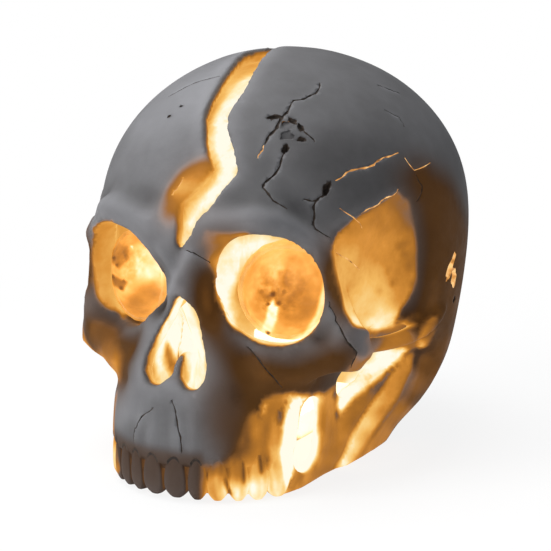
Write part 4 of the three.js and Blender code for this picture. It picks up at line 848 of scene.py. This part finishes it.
# glowing places that the mirror image doesn't repeat
FRONT = [
    # inner corner of the left eye and the bridge of the nose
    ([(190, 246), (203, 226), (226, 230), (246, 231), (266, 238), (252, 245), (240, 251), (226, 263),
      (216, 282), (208, 268), (199, 256)], (18, 8),
     [(213, 245, 0.52), (232, 239, 0.6), (250, 238, 0.76), (240, 247, 0.82), (222, 263, 0.72),
      (203, 249, 0.34), (215, 272, 0.62)]),
    # lower edge of the right eye hole, worn thin, and the cheek under it
    ([(92, 226), (104, 219), (116, 219), (112, 235), (106, 250), (110, 270), (120, 288), (134, 300),
      (152, 303), (142, 312), (125, 315), (107, 310), (97, 301), (93, 285), (91, 250)], (3, 3),
     [(97, 237, 0.7), (108, 224, 0.68), (98, 275, 0.72), (105, 300, 0.72), (120, 309, 0.66),
      (140, 308, 0.62)]),
    ([(88, 316), (104, 316), (122, 324), (130, 340), (124, 362), (122, 390), (114, 380), (106, 366),
      (95, 362), (86, 340)], (8, 24),
     [(96, 338, 0.4), (108, 351, 0.54), (116, 366, 0.72), (100, 362, 0.8), (93, 346, 0.36),
      (105, 328, 0.4), (122, 340, 0.36)]),
    # knob of gum at the end of the tooth row, and the lit teeth
    ([(226, 458), (238, 434), (245, 416), (255, 408), (262, 416), (278, 416), (284, 430), (280, 450),
      (283, 470), (290, 506), (240, 512), (199, 508), (199, 463), (212, 459)], (20, 3),
     [(250, 425, 0.54), (243, 440, 0.44), (257, 432, 0.64), (265, 428, 0.58), (275, 436, 0.72),
      (236, 450, 0.4), (230, 444, 0.28), (205, 470, 0.58), (216, 482, 0.76), (226, 488, 0.88),
      (240, 492, 0.95), (255, 489, 0.97), (268, 485, 0.95), (240, 472, 0.6), (228, 472, 0.48),
      (250, 465, 0.7), (262, 462, 0.62), (272, 472, 0.84), (281, 456, 0.86), (214, 466, 0.46)]),
    ([(259, 410), (263, 401), (276, 393), (293, 394), (286, 407), (280, 415), (270, 420),
      (263, 418)], (2, 2),
     [(262, 407, 0.88), (270, 409, 0.5), (281, 401, 0.6), (275, 415, 0.62), (289, 396, 0.84)]),
    ([(206, 461), (208, 461), (208, 479), (206, 479)], (2, 2), [(207, 470, 0.36)]),
    ([(223, 479), (226, 478), (232, 494), (229, 495)], (2, 2), [(228, 486, 0.34)]),
    ([(258, 455), (261, 455), (263, 474), (260, 474)], (2, 2), [(261, 465, 0.42)]),
    ([(266, 452), (268, 452), (269, 468), (267, 468)], (2, 2), [(268, 460, 0.42)]),
    ([(242, 462), (244, 462), (245, 482), (243, 482)], (2, 2), [(244, 472, 0.45)]),
    ([(109, 438), (118, 446), (121, 470), (118, 478), (110, 470)], (3, 3),
     [(115, 455, 0.5), (117, 470, 0.62)]),
]
# the last teeth of the right side, on the mirror image
RIGHT_TEETH = [
    ([(248, 415), (262, 412), (282, 430), (280, 450), (287, 488), (250, 496)], (14, 3),
     [(256, 435, 0.44), (268, 440, 0.6), (280, 460, 0.8), (262, 488, 0.9)]),
]
# walls of the openings, where the lamp isn't seen straight on
OPENINGS = [
    # eye holes, nose and crack
    ([(214, 296), (219, 278), (228, 264), (241, 250), (258, 241), (285, 243), (310, 256), (324, 280),
      (324, 312), (312, 334), (290, 346), (262, 344), (240, 332), (222, 316)], (3, 3),
     [(240, 330, 0.8), (262, 342, 0.92), (290, 342, 0.93), (312, 331, 0.91), (322, 300, 0.88),
      (319, 275, 0.8), (300, 256, 0.74), (275, 250, 0.86), (248, 300, 0.72), (245, 317, 0.76),
      (255, 270, 0.74)]),
    ([(208, 297), (212, 276), (220, 258), (234, 244), (254, 238), (272, 240), (288, 247), (283, 251),
      (266, 251), (250, 260), (239, 273), (234, 290), (232, 310), (237, 328), (224, 322),
      (212, 308)], (3, 3), [(224, 290, 1.0), (240, 262, 1.0), (265, 247, 1.0), (228, 312, 0.98)]),
    ([(93, 225), (105, 219), (125, 219), (145, 228), (160, 245), (169, 268), (166, 292), (150, 308),
      (125, 313), (104, 306), (95, 290)], (3, 3),
     [(100, 240, 0.74), (97, 270, 0.72), (105, 300, 0.76), (120, 309, 0.82), (140, 307, 0.8),
      (160, 290, 0.8), (166, 266, 0.93), (155, 245, 0.86), (130, 225, 0.72), (110, 225, 0.74)]),
    ([(178, 294), (166, 308), (151, 343), (144, 368), (146, 386), (158, 388), (171, 383), (178, 365),
      (183, 370), (185, 388), (196, 392), (206, 379), (205, 353), (198, 323), (187, 299)], (2, 2),
     [(180, 310, 1.0), (195, 340, 1.0), (170, 340, 1.0), (158, 370, 0.97)]),
    ([(124, 316), (152, 306), (146, 322), (137, 332), (128, 328)], (4, 4), [(138, 320, 0.36)]),
    ([(144, 384), (144, 360), (150, 335), (157, 312), (168, 297), (174, 298), (166, 315), (159, 335),
      (154, 360), (157, 376), (166, 384)], (2, 6),
     [(148, 365, 0.72), (154, 335, 0.72), (165, 305, 0.74), (160, 381, 0.8)]),
    ([(163, 358), (167, 341), (172, 350), (175, 361), (180, 357), (184, 354), (187, 366), (190, 380),
      (180, 388), (170, 372)], (2, 2),
     [(167, 352, 0.62), (173, 366, 0.6), (182, 365, 0.74), (184, 378, 0.8)]),
    ([(272, 44), (276, 49), (268, 64), (253, 94), (231, 119), (233, 138), (241, 165), (236, 180),
      (210, 205), (192, 232), (185, 250), (176, 252), (174, 213), (181, 202), (207, 174), (211, 163),
      (203, 138), (205, 113), (222, 79), (246, 56)], (2, 2),
     [(266, 52, 0.74), (256, 66, 0.8), (247, 84, 0.97), (232, 110, 1.0), (222, 140, 1.0), (228, 170, 1.0),
      (200, 205, 1.0), (184, 235, 0.97)]),
    ([(272, 44), (246, 54), (222, 77), (204, 112), (202, 138), (210, 163), (207, 173), (180, 202),
      (174, 213), (174, 252), (181, 246), (184, 224), (190, 210), (216, 183), (220, 166), (212, 141),
      (213, 117), (230, 90), (250, 72), (262, 60)], (3, 3),
     [(264, 50, 0.7), (242, 64, 0.74), (225, 86, 0.8), (208, 120, 0.72), (209, 150, 0.82),
      (213, 172, 0.76), (196, 196, 0.8), (180, 215, 0.7), (177, 240, 0.7)]),
    # slot behind the teeth, and the gap under the cheek arch
    ([(288, 394), (318, 394), (318, 478), (288, 478)], (2, 2), [(300, 440, 1.12)]),
    ([(334, 414), (336, 390), (380, 350), (410, 344), (410, 354), (360, 400)], (2, 2), [(350, 395, 1.0)]),
]
# painted highlights where the grey is lighter than 0.5, and painted shade where it is darker
PAINTED_LIGHT_AND_SHADE = [
    ([(104, 175), (125, 125), (165, 82), (215, 58), (240, 58), (215, 90), (196, 125), (170, 150),
      (140, 190)], (40, 40), [(150, 110, 0.74), (190, 85, 0.8), (125, 160, 0.58)]),
    ([(290, 140), (330, 128), (380, 138), (410, 160), (400, 186), (370, 202), (340, 206),
      (310, 190)], (40, 40), [(350, 165, 0.3)]),
    ([(222, 200), (260, 192), (300, 205), (290, 216), (250, 212)], (20, 20), [(265, 204, 0.36)]),
    ([(187, 250), (193, 252), (190, 266), (183, 286), (177, 295), (167, 294), (173, 275),
      (180, 260)], (4, 4), [(183, 270, 0.92), (173, 290, 0.8)]),
    ([(112, 380), (135, 385), (140, 420), (116, 425)], (20, 20), [(128, 402, 0.74)]),
]
FADE_ROUNDS, FADE = 150, (0.02, 0.5)
EDGE_FADE, FRONT_FADE = (0.0, 0.12), (-0.1, 0.1)
STAIN_COVER = 0.8


def clear_to(eye):
    """Which corners nothing hides from a point."""
    clear = np.zeros(corners)
    for i in range(corners):
        origin = Vector(places[i] + normals[i] * RAY_START)
        clear[i] = walls.ray_cast(origin, (eye - origin).normalized(), 1)[0] is None
    return clear


reached = {}
for side in (1, -1):
    in_sight = clear_to(Vector((side * eye_point.x, eye_point.y, eye_point.z)))
    reached[side] = rise_between(*EDGE_FADE, facing(places, normals, side)) * spread(in_sight, 1)
reached[-1][places[:, 0] > 0] = 0
known = np.maximum(reached[1], reached[-1])
near_known = spread(known, FADE_ROUNDS)


def lit_sides(both, left, right, dots):
    """Lays patches and dots over the skull's two sides; what the drawing doesn't show fades out."""
    glow = np.zeros(corners)
    for side, layers in ((1, both + left), (-1, both + right)):
        px, py = drawn_at(places, side)
        cover = np.ones(corners) if side > 0 else reached[side]
        glow = dotted(tinted(glow, layers, px, py, cover), dots, px, py, STAIN_COVER * cover)
    faded = spread(glow * known, FADE_ROUNDS) / np.maximum(near_known, FADE[0])
    faded = faded * rise_between(*FADE, near_known)
    return glow * known + faded * (1 - known)


sideways, lengthwise, level = places.T
px, py = drawn_at(places, 1)
in_front = rise_between(*FRONT_FADE, facing(places, normals, 1))

# the brown painted shade runs on behind what the drawing shows, and the wall has a thin round place behind
# each ear, given by its middle and its reach
RUN_FRONT, RUN_BACK, RUN_TOP, RUN_TONE = (0.02, 0.04), (0.046, 0.088), (0.07, 0.11), 0.36
THIN_LENGTHWISE, THIN_LEVEL, THIN_TONE = (0.053, 0.014), (0.0925, 0.011), 0.88
SHADE_AND_SPILL_ROUNDS, HALO_ROUNDS = 30, 60
runs_on = rise_between(*RUN_FRONT, lengthwise) * fall_between(*RUN_BACK, lengthwise)
runs_on = runs_on * fall_between(*RUN_TOP, level) * (1 - known)
thin_place = np.exp(-((lengthwise - THIN_LENGTHWISE[0]) / THIN_LENGTHWISE[1]) ** 2
                    - ((level - THIN_LEVEL[0]) / THIN_LEVEL[1]) ** 2)
# brown painted shade with a dim painted glow of lamplight, spread soft
burn = np.maximum(lit_sides(SHADE_AND_SPILL, SHADE_AND_SPILL_FACE, [], []), RUN_TONE * runs_on)
burn = spread(burn, SHADE_AND_SPILL_ROUNDS)
halo = spread(lit_sides([], HALO, [], []), HALO_ROUNDS)
glow = lit_sides(SIDES, FRONT, RIGHT_TEETH, STAINS)
glow = np.max([glow, burn, halo, THIN_TONE * thin_place], axis=0)

# upright streaks in the lit teeth and the gum above them
STREAK_TOP, STREAK_BACK, STREAK_FROM = 0.034, -0.045, 0.3
STREAK_SCALE, STREAK_TONE = (420, 420, 60), 0.11
for i in np.flatnonzero((level < STREAK_TOP) & (lengthwise < STREAK_BACK) & (glow > STREAK_FROM)):
    glow[i] += STREAK_TONE * noise.fractal(Vector(places[i] * STREAK_SCALE), 0.9, 2.1, 3)

# the front teeth and those of the right side are painted grey, and the openings don't light them
GREY_TOP, GREY_BACK, GREY_LEFT = (0.0172, 0.0215), (-0.052, -0.048), (0.0150, 0.0172)
GREY_FROM_ROW = (4.5, 6)
tooth_row = [(-x, y) for x, y, *_ in TEETH[::-1]] + [(x, y) for x, y, *_ in TEETH]
from_row = away_from(tooth_row, 1000 * sideways, 1000 * lengthwise)
grey_teeth = fall_between(*GREY_TOP, level) * fall_between(*GREY_BACK, lengthwise)
grey_teeth = grey_teeth * fall_between(*GREY_LEFT, sideways) * fall_between(*GREY_FROM_ROW, from_row)

# openings shine, more so the deeper a point lies, and some light bleeds into the skin round them
HOLLOW, SHADED, DEEP, RIM_TONE = (0.50, 0.60), (0.55, 0.9), (0.0015, 0.0085), 0.62
BLEED, BLEED_ROUNDS, TOOTH_TONE = 0.58, 45, 0.2
hollow = fall_between(*HOLLOW, openness) * (1 - grey_teeth)
shaded = fall_between(*SHADED, openness)
glow = np.maximum(glow, hollow * (RIM_TONE + (1 - RIM_TONE) * rise_between(*DEEP, depth)))
glow = tinted(glow, OPENINGS, px, py, hollow * in_front)
bleed = BLEED * spread(glow, BLEED_ROUNDS) * (1 - grey_teeth)
glow = np.maximum(spread(glow, 1), bleed + TOOTH_TONE * (1 + shaded) * grey_teeth)

# paint: full brown from this tone up under the brown painted shade, painted highlight on ridges, painted
# shade in corners, and darker on the grey teeth
FULL_BROWN, TOOTH_BROWN = 0.3, 0.5
RIDGE_FULL, RIDGE_HIGHLIGHT, CORNER_SHADE, DARK_TOOTH = 0.0008, 0.32, 0.35, 0.34
burn = np.clip(burn / FULL_BROWN + TOOTH_BROWN * grey_teeth, 0, 1)
tint = tinted(np.full(corners, 0.5), PAINTED_LIGHT_AND_SHADE, px, py, in_front)
tint += RIDGE_HIGHLIGHT * np.clip(ridge / RIDGE_FULL, -1, 1) - CORNER_SHADE * shaded - DARK_TOOTH * grey_teeth
tint = np.clip(spread(tint, 4), 0, 1)


def keep(piece, name, values):
    """Stores a value at each corner, for the piece's material to read."""
    piece.data.attributes.new(name, "FLOAT", "POINT").data.foreach_set("value", values)


def smooth_shaded(piece):
    """Shades a piece's faces as one round surface."""
    for face in piece.data.polygons:
        face.use_smooth = True


keep(casting, "glow", glow)
keep(casting, "burn", burn)
keep(casting, "shade", tint)


def lamplight(finish, shine):
    """The colour that the lamp gives to resin of a brightness from 0 to 1."""
    return finish.ramp(
        shine, (0.0, (0, 0, 0)), (0.25, (0.008, 0.003, 0.001)), (0.35, (0.032, 0.013, 0.003)),
        (0.45, (0.16, 0.064, 0.014)), (0.62, (0.45, 0.175, 0.022)), (0.70, (0.66, 0.27, 0.04)),
        (0.80, (0.88, 0.48, 0.115)), (0.88, (0.96, 0.66, 0.25)), (0.95, (1, 0.86, 0.53)),
        (1.0, (1, 0.97, 0.82)))


coarse, fine, grit = stone.noise(38, 4), stone.noise(210, 5), stone.noise(1100, 3)
shine = stone.attribute("glow") * (0.86 + 0.28 * stone.noise(75, 4, rough=0.62))
grey = stone.ramp(
    stone.attribute("shade") * 0.7 + coarse * 0.2 + fine * 0.1,
    (0.2, (0.036, 0.034, 0.034)), (0.5, (0.112, 0.110, 0.113)), (0.8, (0.21, 0.21, 0.22)))
# the base turns brown under the brown painted shade and where the painted lamplight is strong
brown = stone.ramp(shine, (0.36, (0.066, 0.028, 0.007)), (0.6, (0.03, 0.011, 0.002)))
browned = shine.maths("MAXIMUM", stone.attribute("burn"), shine.step(0.4, 0.55))
stone.feed("Base Color", stone.mix(browned, grey, brown))
stone.feed("Emission Color", lamplight(stone, shine))
stone.feed("Roughness", 0.5 + 0.3 * fine)
stone.bump(fine * 0.7 + grit * 0.3, 0.0004, 0.4)
smooth_shaded(casting)
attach(casting, "skull")
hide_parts("skull_shell")


# Eye cups: two thin bowls of amber resin glued behind the eye holes, crumpled while soft, with
# a rough burst patch at the back where most of the light comes through.
CUP_REMESH = 0.0008
CUPS = {
    # the middle of the burst in mm and its reach, then patches and dots of lamplight on the drawing
    "left": (
        (20.8, -41, 73), 12,
        [([(200, 220), (340, 220), (340, 360), (200, 360)], (1, 1),
          [(255, 275, 0.74), (274, 259, 0.82), (300, 260, 0.75), (315, 285, 0.72), (306, 311, 0.60),
           (312, 325, 0.74), (290, 336, 0.78), (262, 336, 0.88), (245, 315, 0.78), (240, 295, 0.76),
           (276, 297, 0.66), (292, 300, 0.60), (262, 300, 0.68), (303, 300, 0.61)]),
         ([(268, 305), (273, 299), (278, 308), (277, 320), (271, 333), (264, 338), (261, 331),
           (266, 318)], (4, 4), [(272, 315, 1.0), (266, 332, 0.95)]),
         ([(324, 280), (327, 300), (322, 320), (306, 340), (285, 348), (262, 347), (242, 334),
           (247, 332), (264, 341), (285, 342), (303, 334), (316, 315), (320, 297)], (4, 4),
          [(285, 345, 0.93), (318, 318, 0.92)])],
        [(273, 294, 3.2, 0.40), (279, 303, 2.6, 0.44), (268, 304, 2.2, 0.46), (268, 333, 2.2, 0.36),
         (284, 292, 2.5, 0.55), (262, 292, 2.5, 0.56), (231, 299, 1.8, 0.1)]),
    "right": (
        (-47.5, -44.4, 79), 9,
        [([(80, 200), (190, 200), (190, 330), (80, 330)], (1, 1),
          [(105, 250, 0.75), (100, 280, 0.73), (112, 302, 0.70), (135, 230, 0.70), (150, 258, 0.93),
           (146, 272, 0.98), (158, 266, 0.93), (148, 293, 0.64), (137, 301, 0.60), (127, 288, 0.84),
           (120, 238, 0.68), (132, 262, 0.82)]),
         ([(112, 250), (119, 244), (128, 247), (128, 260), (119, 268), (112, 262)], (5, 5),
          [(118, 256, 0.56)]),
         ([(110, 274), (120, 279), (127, 282), (123, 291), (114, 285)], (4, 4), [(118, 283, 0.52)])],
        [(114, 258, 2.4, 0.40), (117, 265, 2.0, 0.42), (113, 277, 2.2, 0.42), (121, 288, 2.2, 0.40),
         (124, 281, 1.8, 0.46), (132, 247, 1.6, 0.98), (147, 245, 2.6, 0.55)]),
}
CUP_TONE, LEAST_TONE = 0.72, 0.1
CREASE_SCALE, CREASE_TONE, CREASE_HEIGHT = 170, 0.05, 0.0002
KNOT_SCALE, KNOT_TONE, KNOT_HEIGHT = 330, 0.15, 0.0006
film = Finish("amber_film", Roughness=0.45, Emission_Strength=1.0)
film_shine = film.attribute("glow") * (0.94 + 0.12 * film.noise(260, 3))
film.feed("Base Color", film.ramp(film_shine, (0.2, (0.05, 0.022, 0.008)), (0.9, (0.35, 0.17, 0.05))))
film.feed("Emission Color", lamplight(film, film_shine))
film.bump(film.noise(420, 4), 0.0005, 0.4)

for name, (burst, burst_reach, patches, dots) in CUPS.items():
    cup = copy_of("eye_cup_" + name, "eye_bowl_" + name)
    cup.data.remesh_voxel_size = CUP_REMESH
    bpy.ops.object.voxel_remesh()
    apply(cup, "SMOOTH", factor=0.5, iterations=4)
    places, normals = corners_of(cup)
    px, py = drawn_at(places, 1)
    everywhere = np.ones(len(places))
    glow = tinted(CUP_TONE * everywhere, patches, px, py, everywhere)
    away = np.linalg.norm(places * 1000 - burst, axis=1) / burst_reach
    rough = np.sqrt(np.clip(1 - away, 0, 1))
    crease = np.array([noise.fractal(Vector(place) * CREASE_SCALE, 0.9, 2.1, 4) for place in places])
    knots = np.array([noise.fractal(Vector(place) * KNOT_SCALE, 0.8, 2.2, 5) for place in places])
    glow += CREASE_TONE * crease + KNOT_TONE * rough * knots
    glow = dotted(glow, dots, px, py, everywhere)
    places += normals * (CREASE_HEIGHT * crease + KNOT_HEIGHT * rough * knots)[:, None]
    cup.data.vertices.foreach_set("co", places.ravel())
    keep(cup, "glow", np.clip(glow, LEAST_TONE, 1))
    cup.data.materials.clear()
    cup.data.materials.append(film.material)
    smooth_shaded(cup)
    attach(cup, "skull")
    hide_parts("eye_cup_" + name)


# Lamp: three warm LEDs on a round green board, screwed to a post of the base cover and shaded
# by a frosted dome that presses over the board.
def paint(finish, *nodes):
    """Gives CAD nodes a finish."""
    for node in nodes:
        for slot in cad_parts[node].material_slots:
            slot.material = finish.material


mask = Finish("green_solder_mask", Roughness=0.35, Coat_Weight=0.4)
tracks = mask.add("ShaderNodeTexBrick", {"offset": 0.37}, {
    "Vector": mask.place(), "Scale": 420, "Mortar Size": 0.06, "Mortar": (1, 1, 1, 1),
    "Color1": (0, 0, 0, 1), "Color2": (0, 0, 0, 1)})
green = mask.ramp(mask.noise(900, 3), (0.3, (0.012, 0.12, 0.045)), (0.7, (0.02, 0.17, 0.065)))
mask.feed("Base Color", mask.mix(tracks * 0.5, green, (0.16, 0.30, 0.12)))
mask.bump(tracks, 0.00006, 0.6)
paint(mask, "lamp_board")

led = Finish("warm_led_epoxy", Roughness=0.12, Emission_Strength=1.0)
core = led.noise(600, 2)
led.feed("Base Color", led.ramp(core, (0.3, (0.85, 0.66, 0.32)), (0.7, (0.95, 0.82, 0.5))))
led.feed("Emission Color", led.ramp(core, (0.3, (1, 0.84, 0.5)), (0.7, (1, 0.96, 0.8))))
paint(led, "lamp_led_1", "lamp_led_2", "lamp_led_3")

frost = Finish("frosted_dome", Roughness=0.6, Emission_Strength=1.0)
haze = frost.noise(240, 4)
frost.feed("Base Color", frost.ramp(haze, (0.3, (0.8, 0.76, 0.68)), (0.7, (0.92, 0.88, 0.8))))
frost.feed("Emission Color", frost.ramp(haze, (0.3, (0.95, 0.76, 0.42)), (0.7, (1, 0.9, 0.66))))
frost.bump(frost.noise(2400, 2), 0.00005, 0.5)
paint(frost, "diffuser_dome")


# Wires: thin stranded leads in red and black sleeves, soldered from the contacts and the switch
# up to the lamp board.
for node, dark, light in (
    ("lamp_wire_red", (0.30, 0.012, 0.01), (0.45, 0.03, 0.02)),
    ("lamp_wire_black", (0.008, 0.008, 0.009), (0.02, 0.02, 0.022)),
    ("switch_wire", (0.007, 0.007, 0.008), (0.018, 0.018, 0.02)),
):
    sleeve = Finish(node + "_sleeve", Roughness=0.4)
    sleeve.feed("Base Color", sleeve.ramp(sleeve.noise(800, 3), (0.3, dark), (0.7, light)))
    sleeve.bump(sleeve.noise(3000, 2), 0.00003, 0.4)
    paint(sleeve, node)


# Base cover and battery door: ivory plastic mouldings with a fine spark grain. The cover closes
# the bottom and carries the lamp; the door hinges over the cells.
LIT_FROM, LIT_TO = 0.0045, 0.008
ivory = Finish("ivory_moulding", Emission_Strength=1.0)
specks, grain = ivory.noise(130, 4), ivory.noise(2600, 2)
upright = ivory.add("ShaderNodeSeparateXYZ", {}, {0: ivory.place()}, "Z")
lit_inside = upright.step(LIT_FROM, LIT_TO) * (0.85 + 0.3 * specks)
ivory.feed("Base Color", ivory.ramp(specks, (0.3, (0.62, 0.55, 0.42)), (0.7, (0.74, 0.68, 0.55))))
ivory.feed("Emission Color", ivory.ramp(
    lit_inside, (0.0, (0, 0, 0)), (0.5, (0.9, 0.66, 0.3)), (1.0, (1, 0.95, 0.75))))
ivory.feed("Roughness", 0.42 + 0.2 * grain)
ivory.bump(grain, 0.00006, 0.7)
paint(ivory, "base_cover", "battery_door")


# Screws, contact plates and springs: nickel-plated steel, turned, stamped and wound. The screws
# hold the cover and the lamp board, and the contacts stand at the ends of the cells.
steel = Finish("nickel_plated_steel", Metallic=1.0)
rub = steel.noise(1500, 3)
steel.feed("Base Color", steel.ramp(
    steel.noise(260, 4), (0.3, (0.46, 0.44, 0.40)), (0.7, (0.68, 0.66, 0.62))))
steel.feed("Roughness", 0.22 + 0.25 * rub)
steel.bump(rub, 0.00003, 0.5)
paint(steel, *[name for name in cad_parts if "screw" in name or name.startswith("contact_")])


# Switch: a black slide switch behind the front edge of the cover, with a white knob that a
# finger pushes sideways.
black = Finish("black_moulding", Roughness=0.5)
black.feed("Base Color", black.ramp(
    black.noise(500, 4), (0.3, (0.010, 0.010, 0.011)), (0.7, (0.026, 0.026, 0.028))))
black.bump(black.noise(2600, 2), 0.00005, 0.6)
paint(black, "switch_body")
knob = Finish("white_knob", Roughness=0.38)
knob.feed("Base Color", knob.ramp(knob.noise(420, 4), (0.3, (0.66, 0.65, 0.61)), (0.7, (0.80, 0.79, 0.76))))
knob.bump(knob.noise(2200, 2), 0.00005, 0.5)
paint(knob, "switch_knob")


# Cells: three small round cells, each a steel can in a printed sleeve, plain dark grey with a
# copper-coloured end at the positive pole.
COPPER_FROM, CAN_FROM = (0.38, 0.40), (0.93, 0.94)
for node, sign in (("battery_1", -1), ("battery_2", 1), ("battery_3", -1)):
    low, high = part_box(node)
    cell = Finish(node + "_sleeve", Coat_Weight=0.3)
    along = cell.add("ShaderNodeSeparateXYZ", {}, {0: cell.place()}, "Y")
    middle, half = (low[1] + high[1]) / 2, (high[1] - low[1]) / 2
    copper, bare = ((sign * (along - middle)).step(start * half, end * half)
                    for start, end in (COPPER_FROM, CAN_FROM))
    scuff = cell.noise(600, 4)
    print_dark = cell.ramp(scuff, (0.3, (0.02, 0.021, 0.024)), (0.7, (0.045, 0.046, 0.05)))
    print_copper = cell.ramp(scuff, (0.3, (0.45, 0.20, 0.08)), (0.7, (0.60, 0.30, 0.13)))
    sleeve = cell.mix(copper, print_dark, print_copper)
    cell.feed("Base Color", cell.mix(bare, sleeve, (0.62, 0.60, 0.56)))
    cell.feed("Metallic", 0.55 * copper + 0.4 * bare)
    cell.feed("Roughness", 0.26 + 0.2 * scuff)
    paint(cell, node)

size = {"cad": [list(cad_low), list(cad_high)], "visual": [list(c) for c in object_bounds()]}
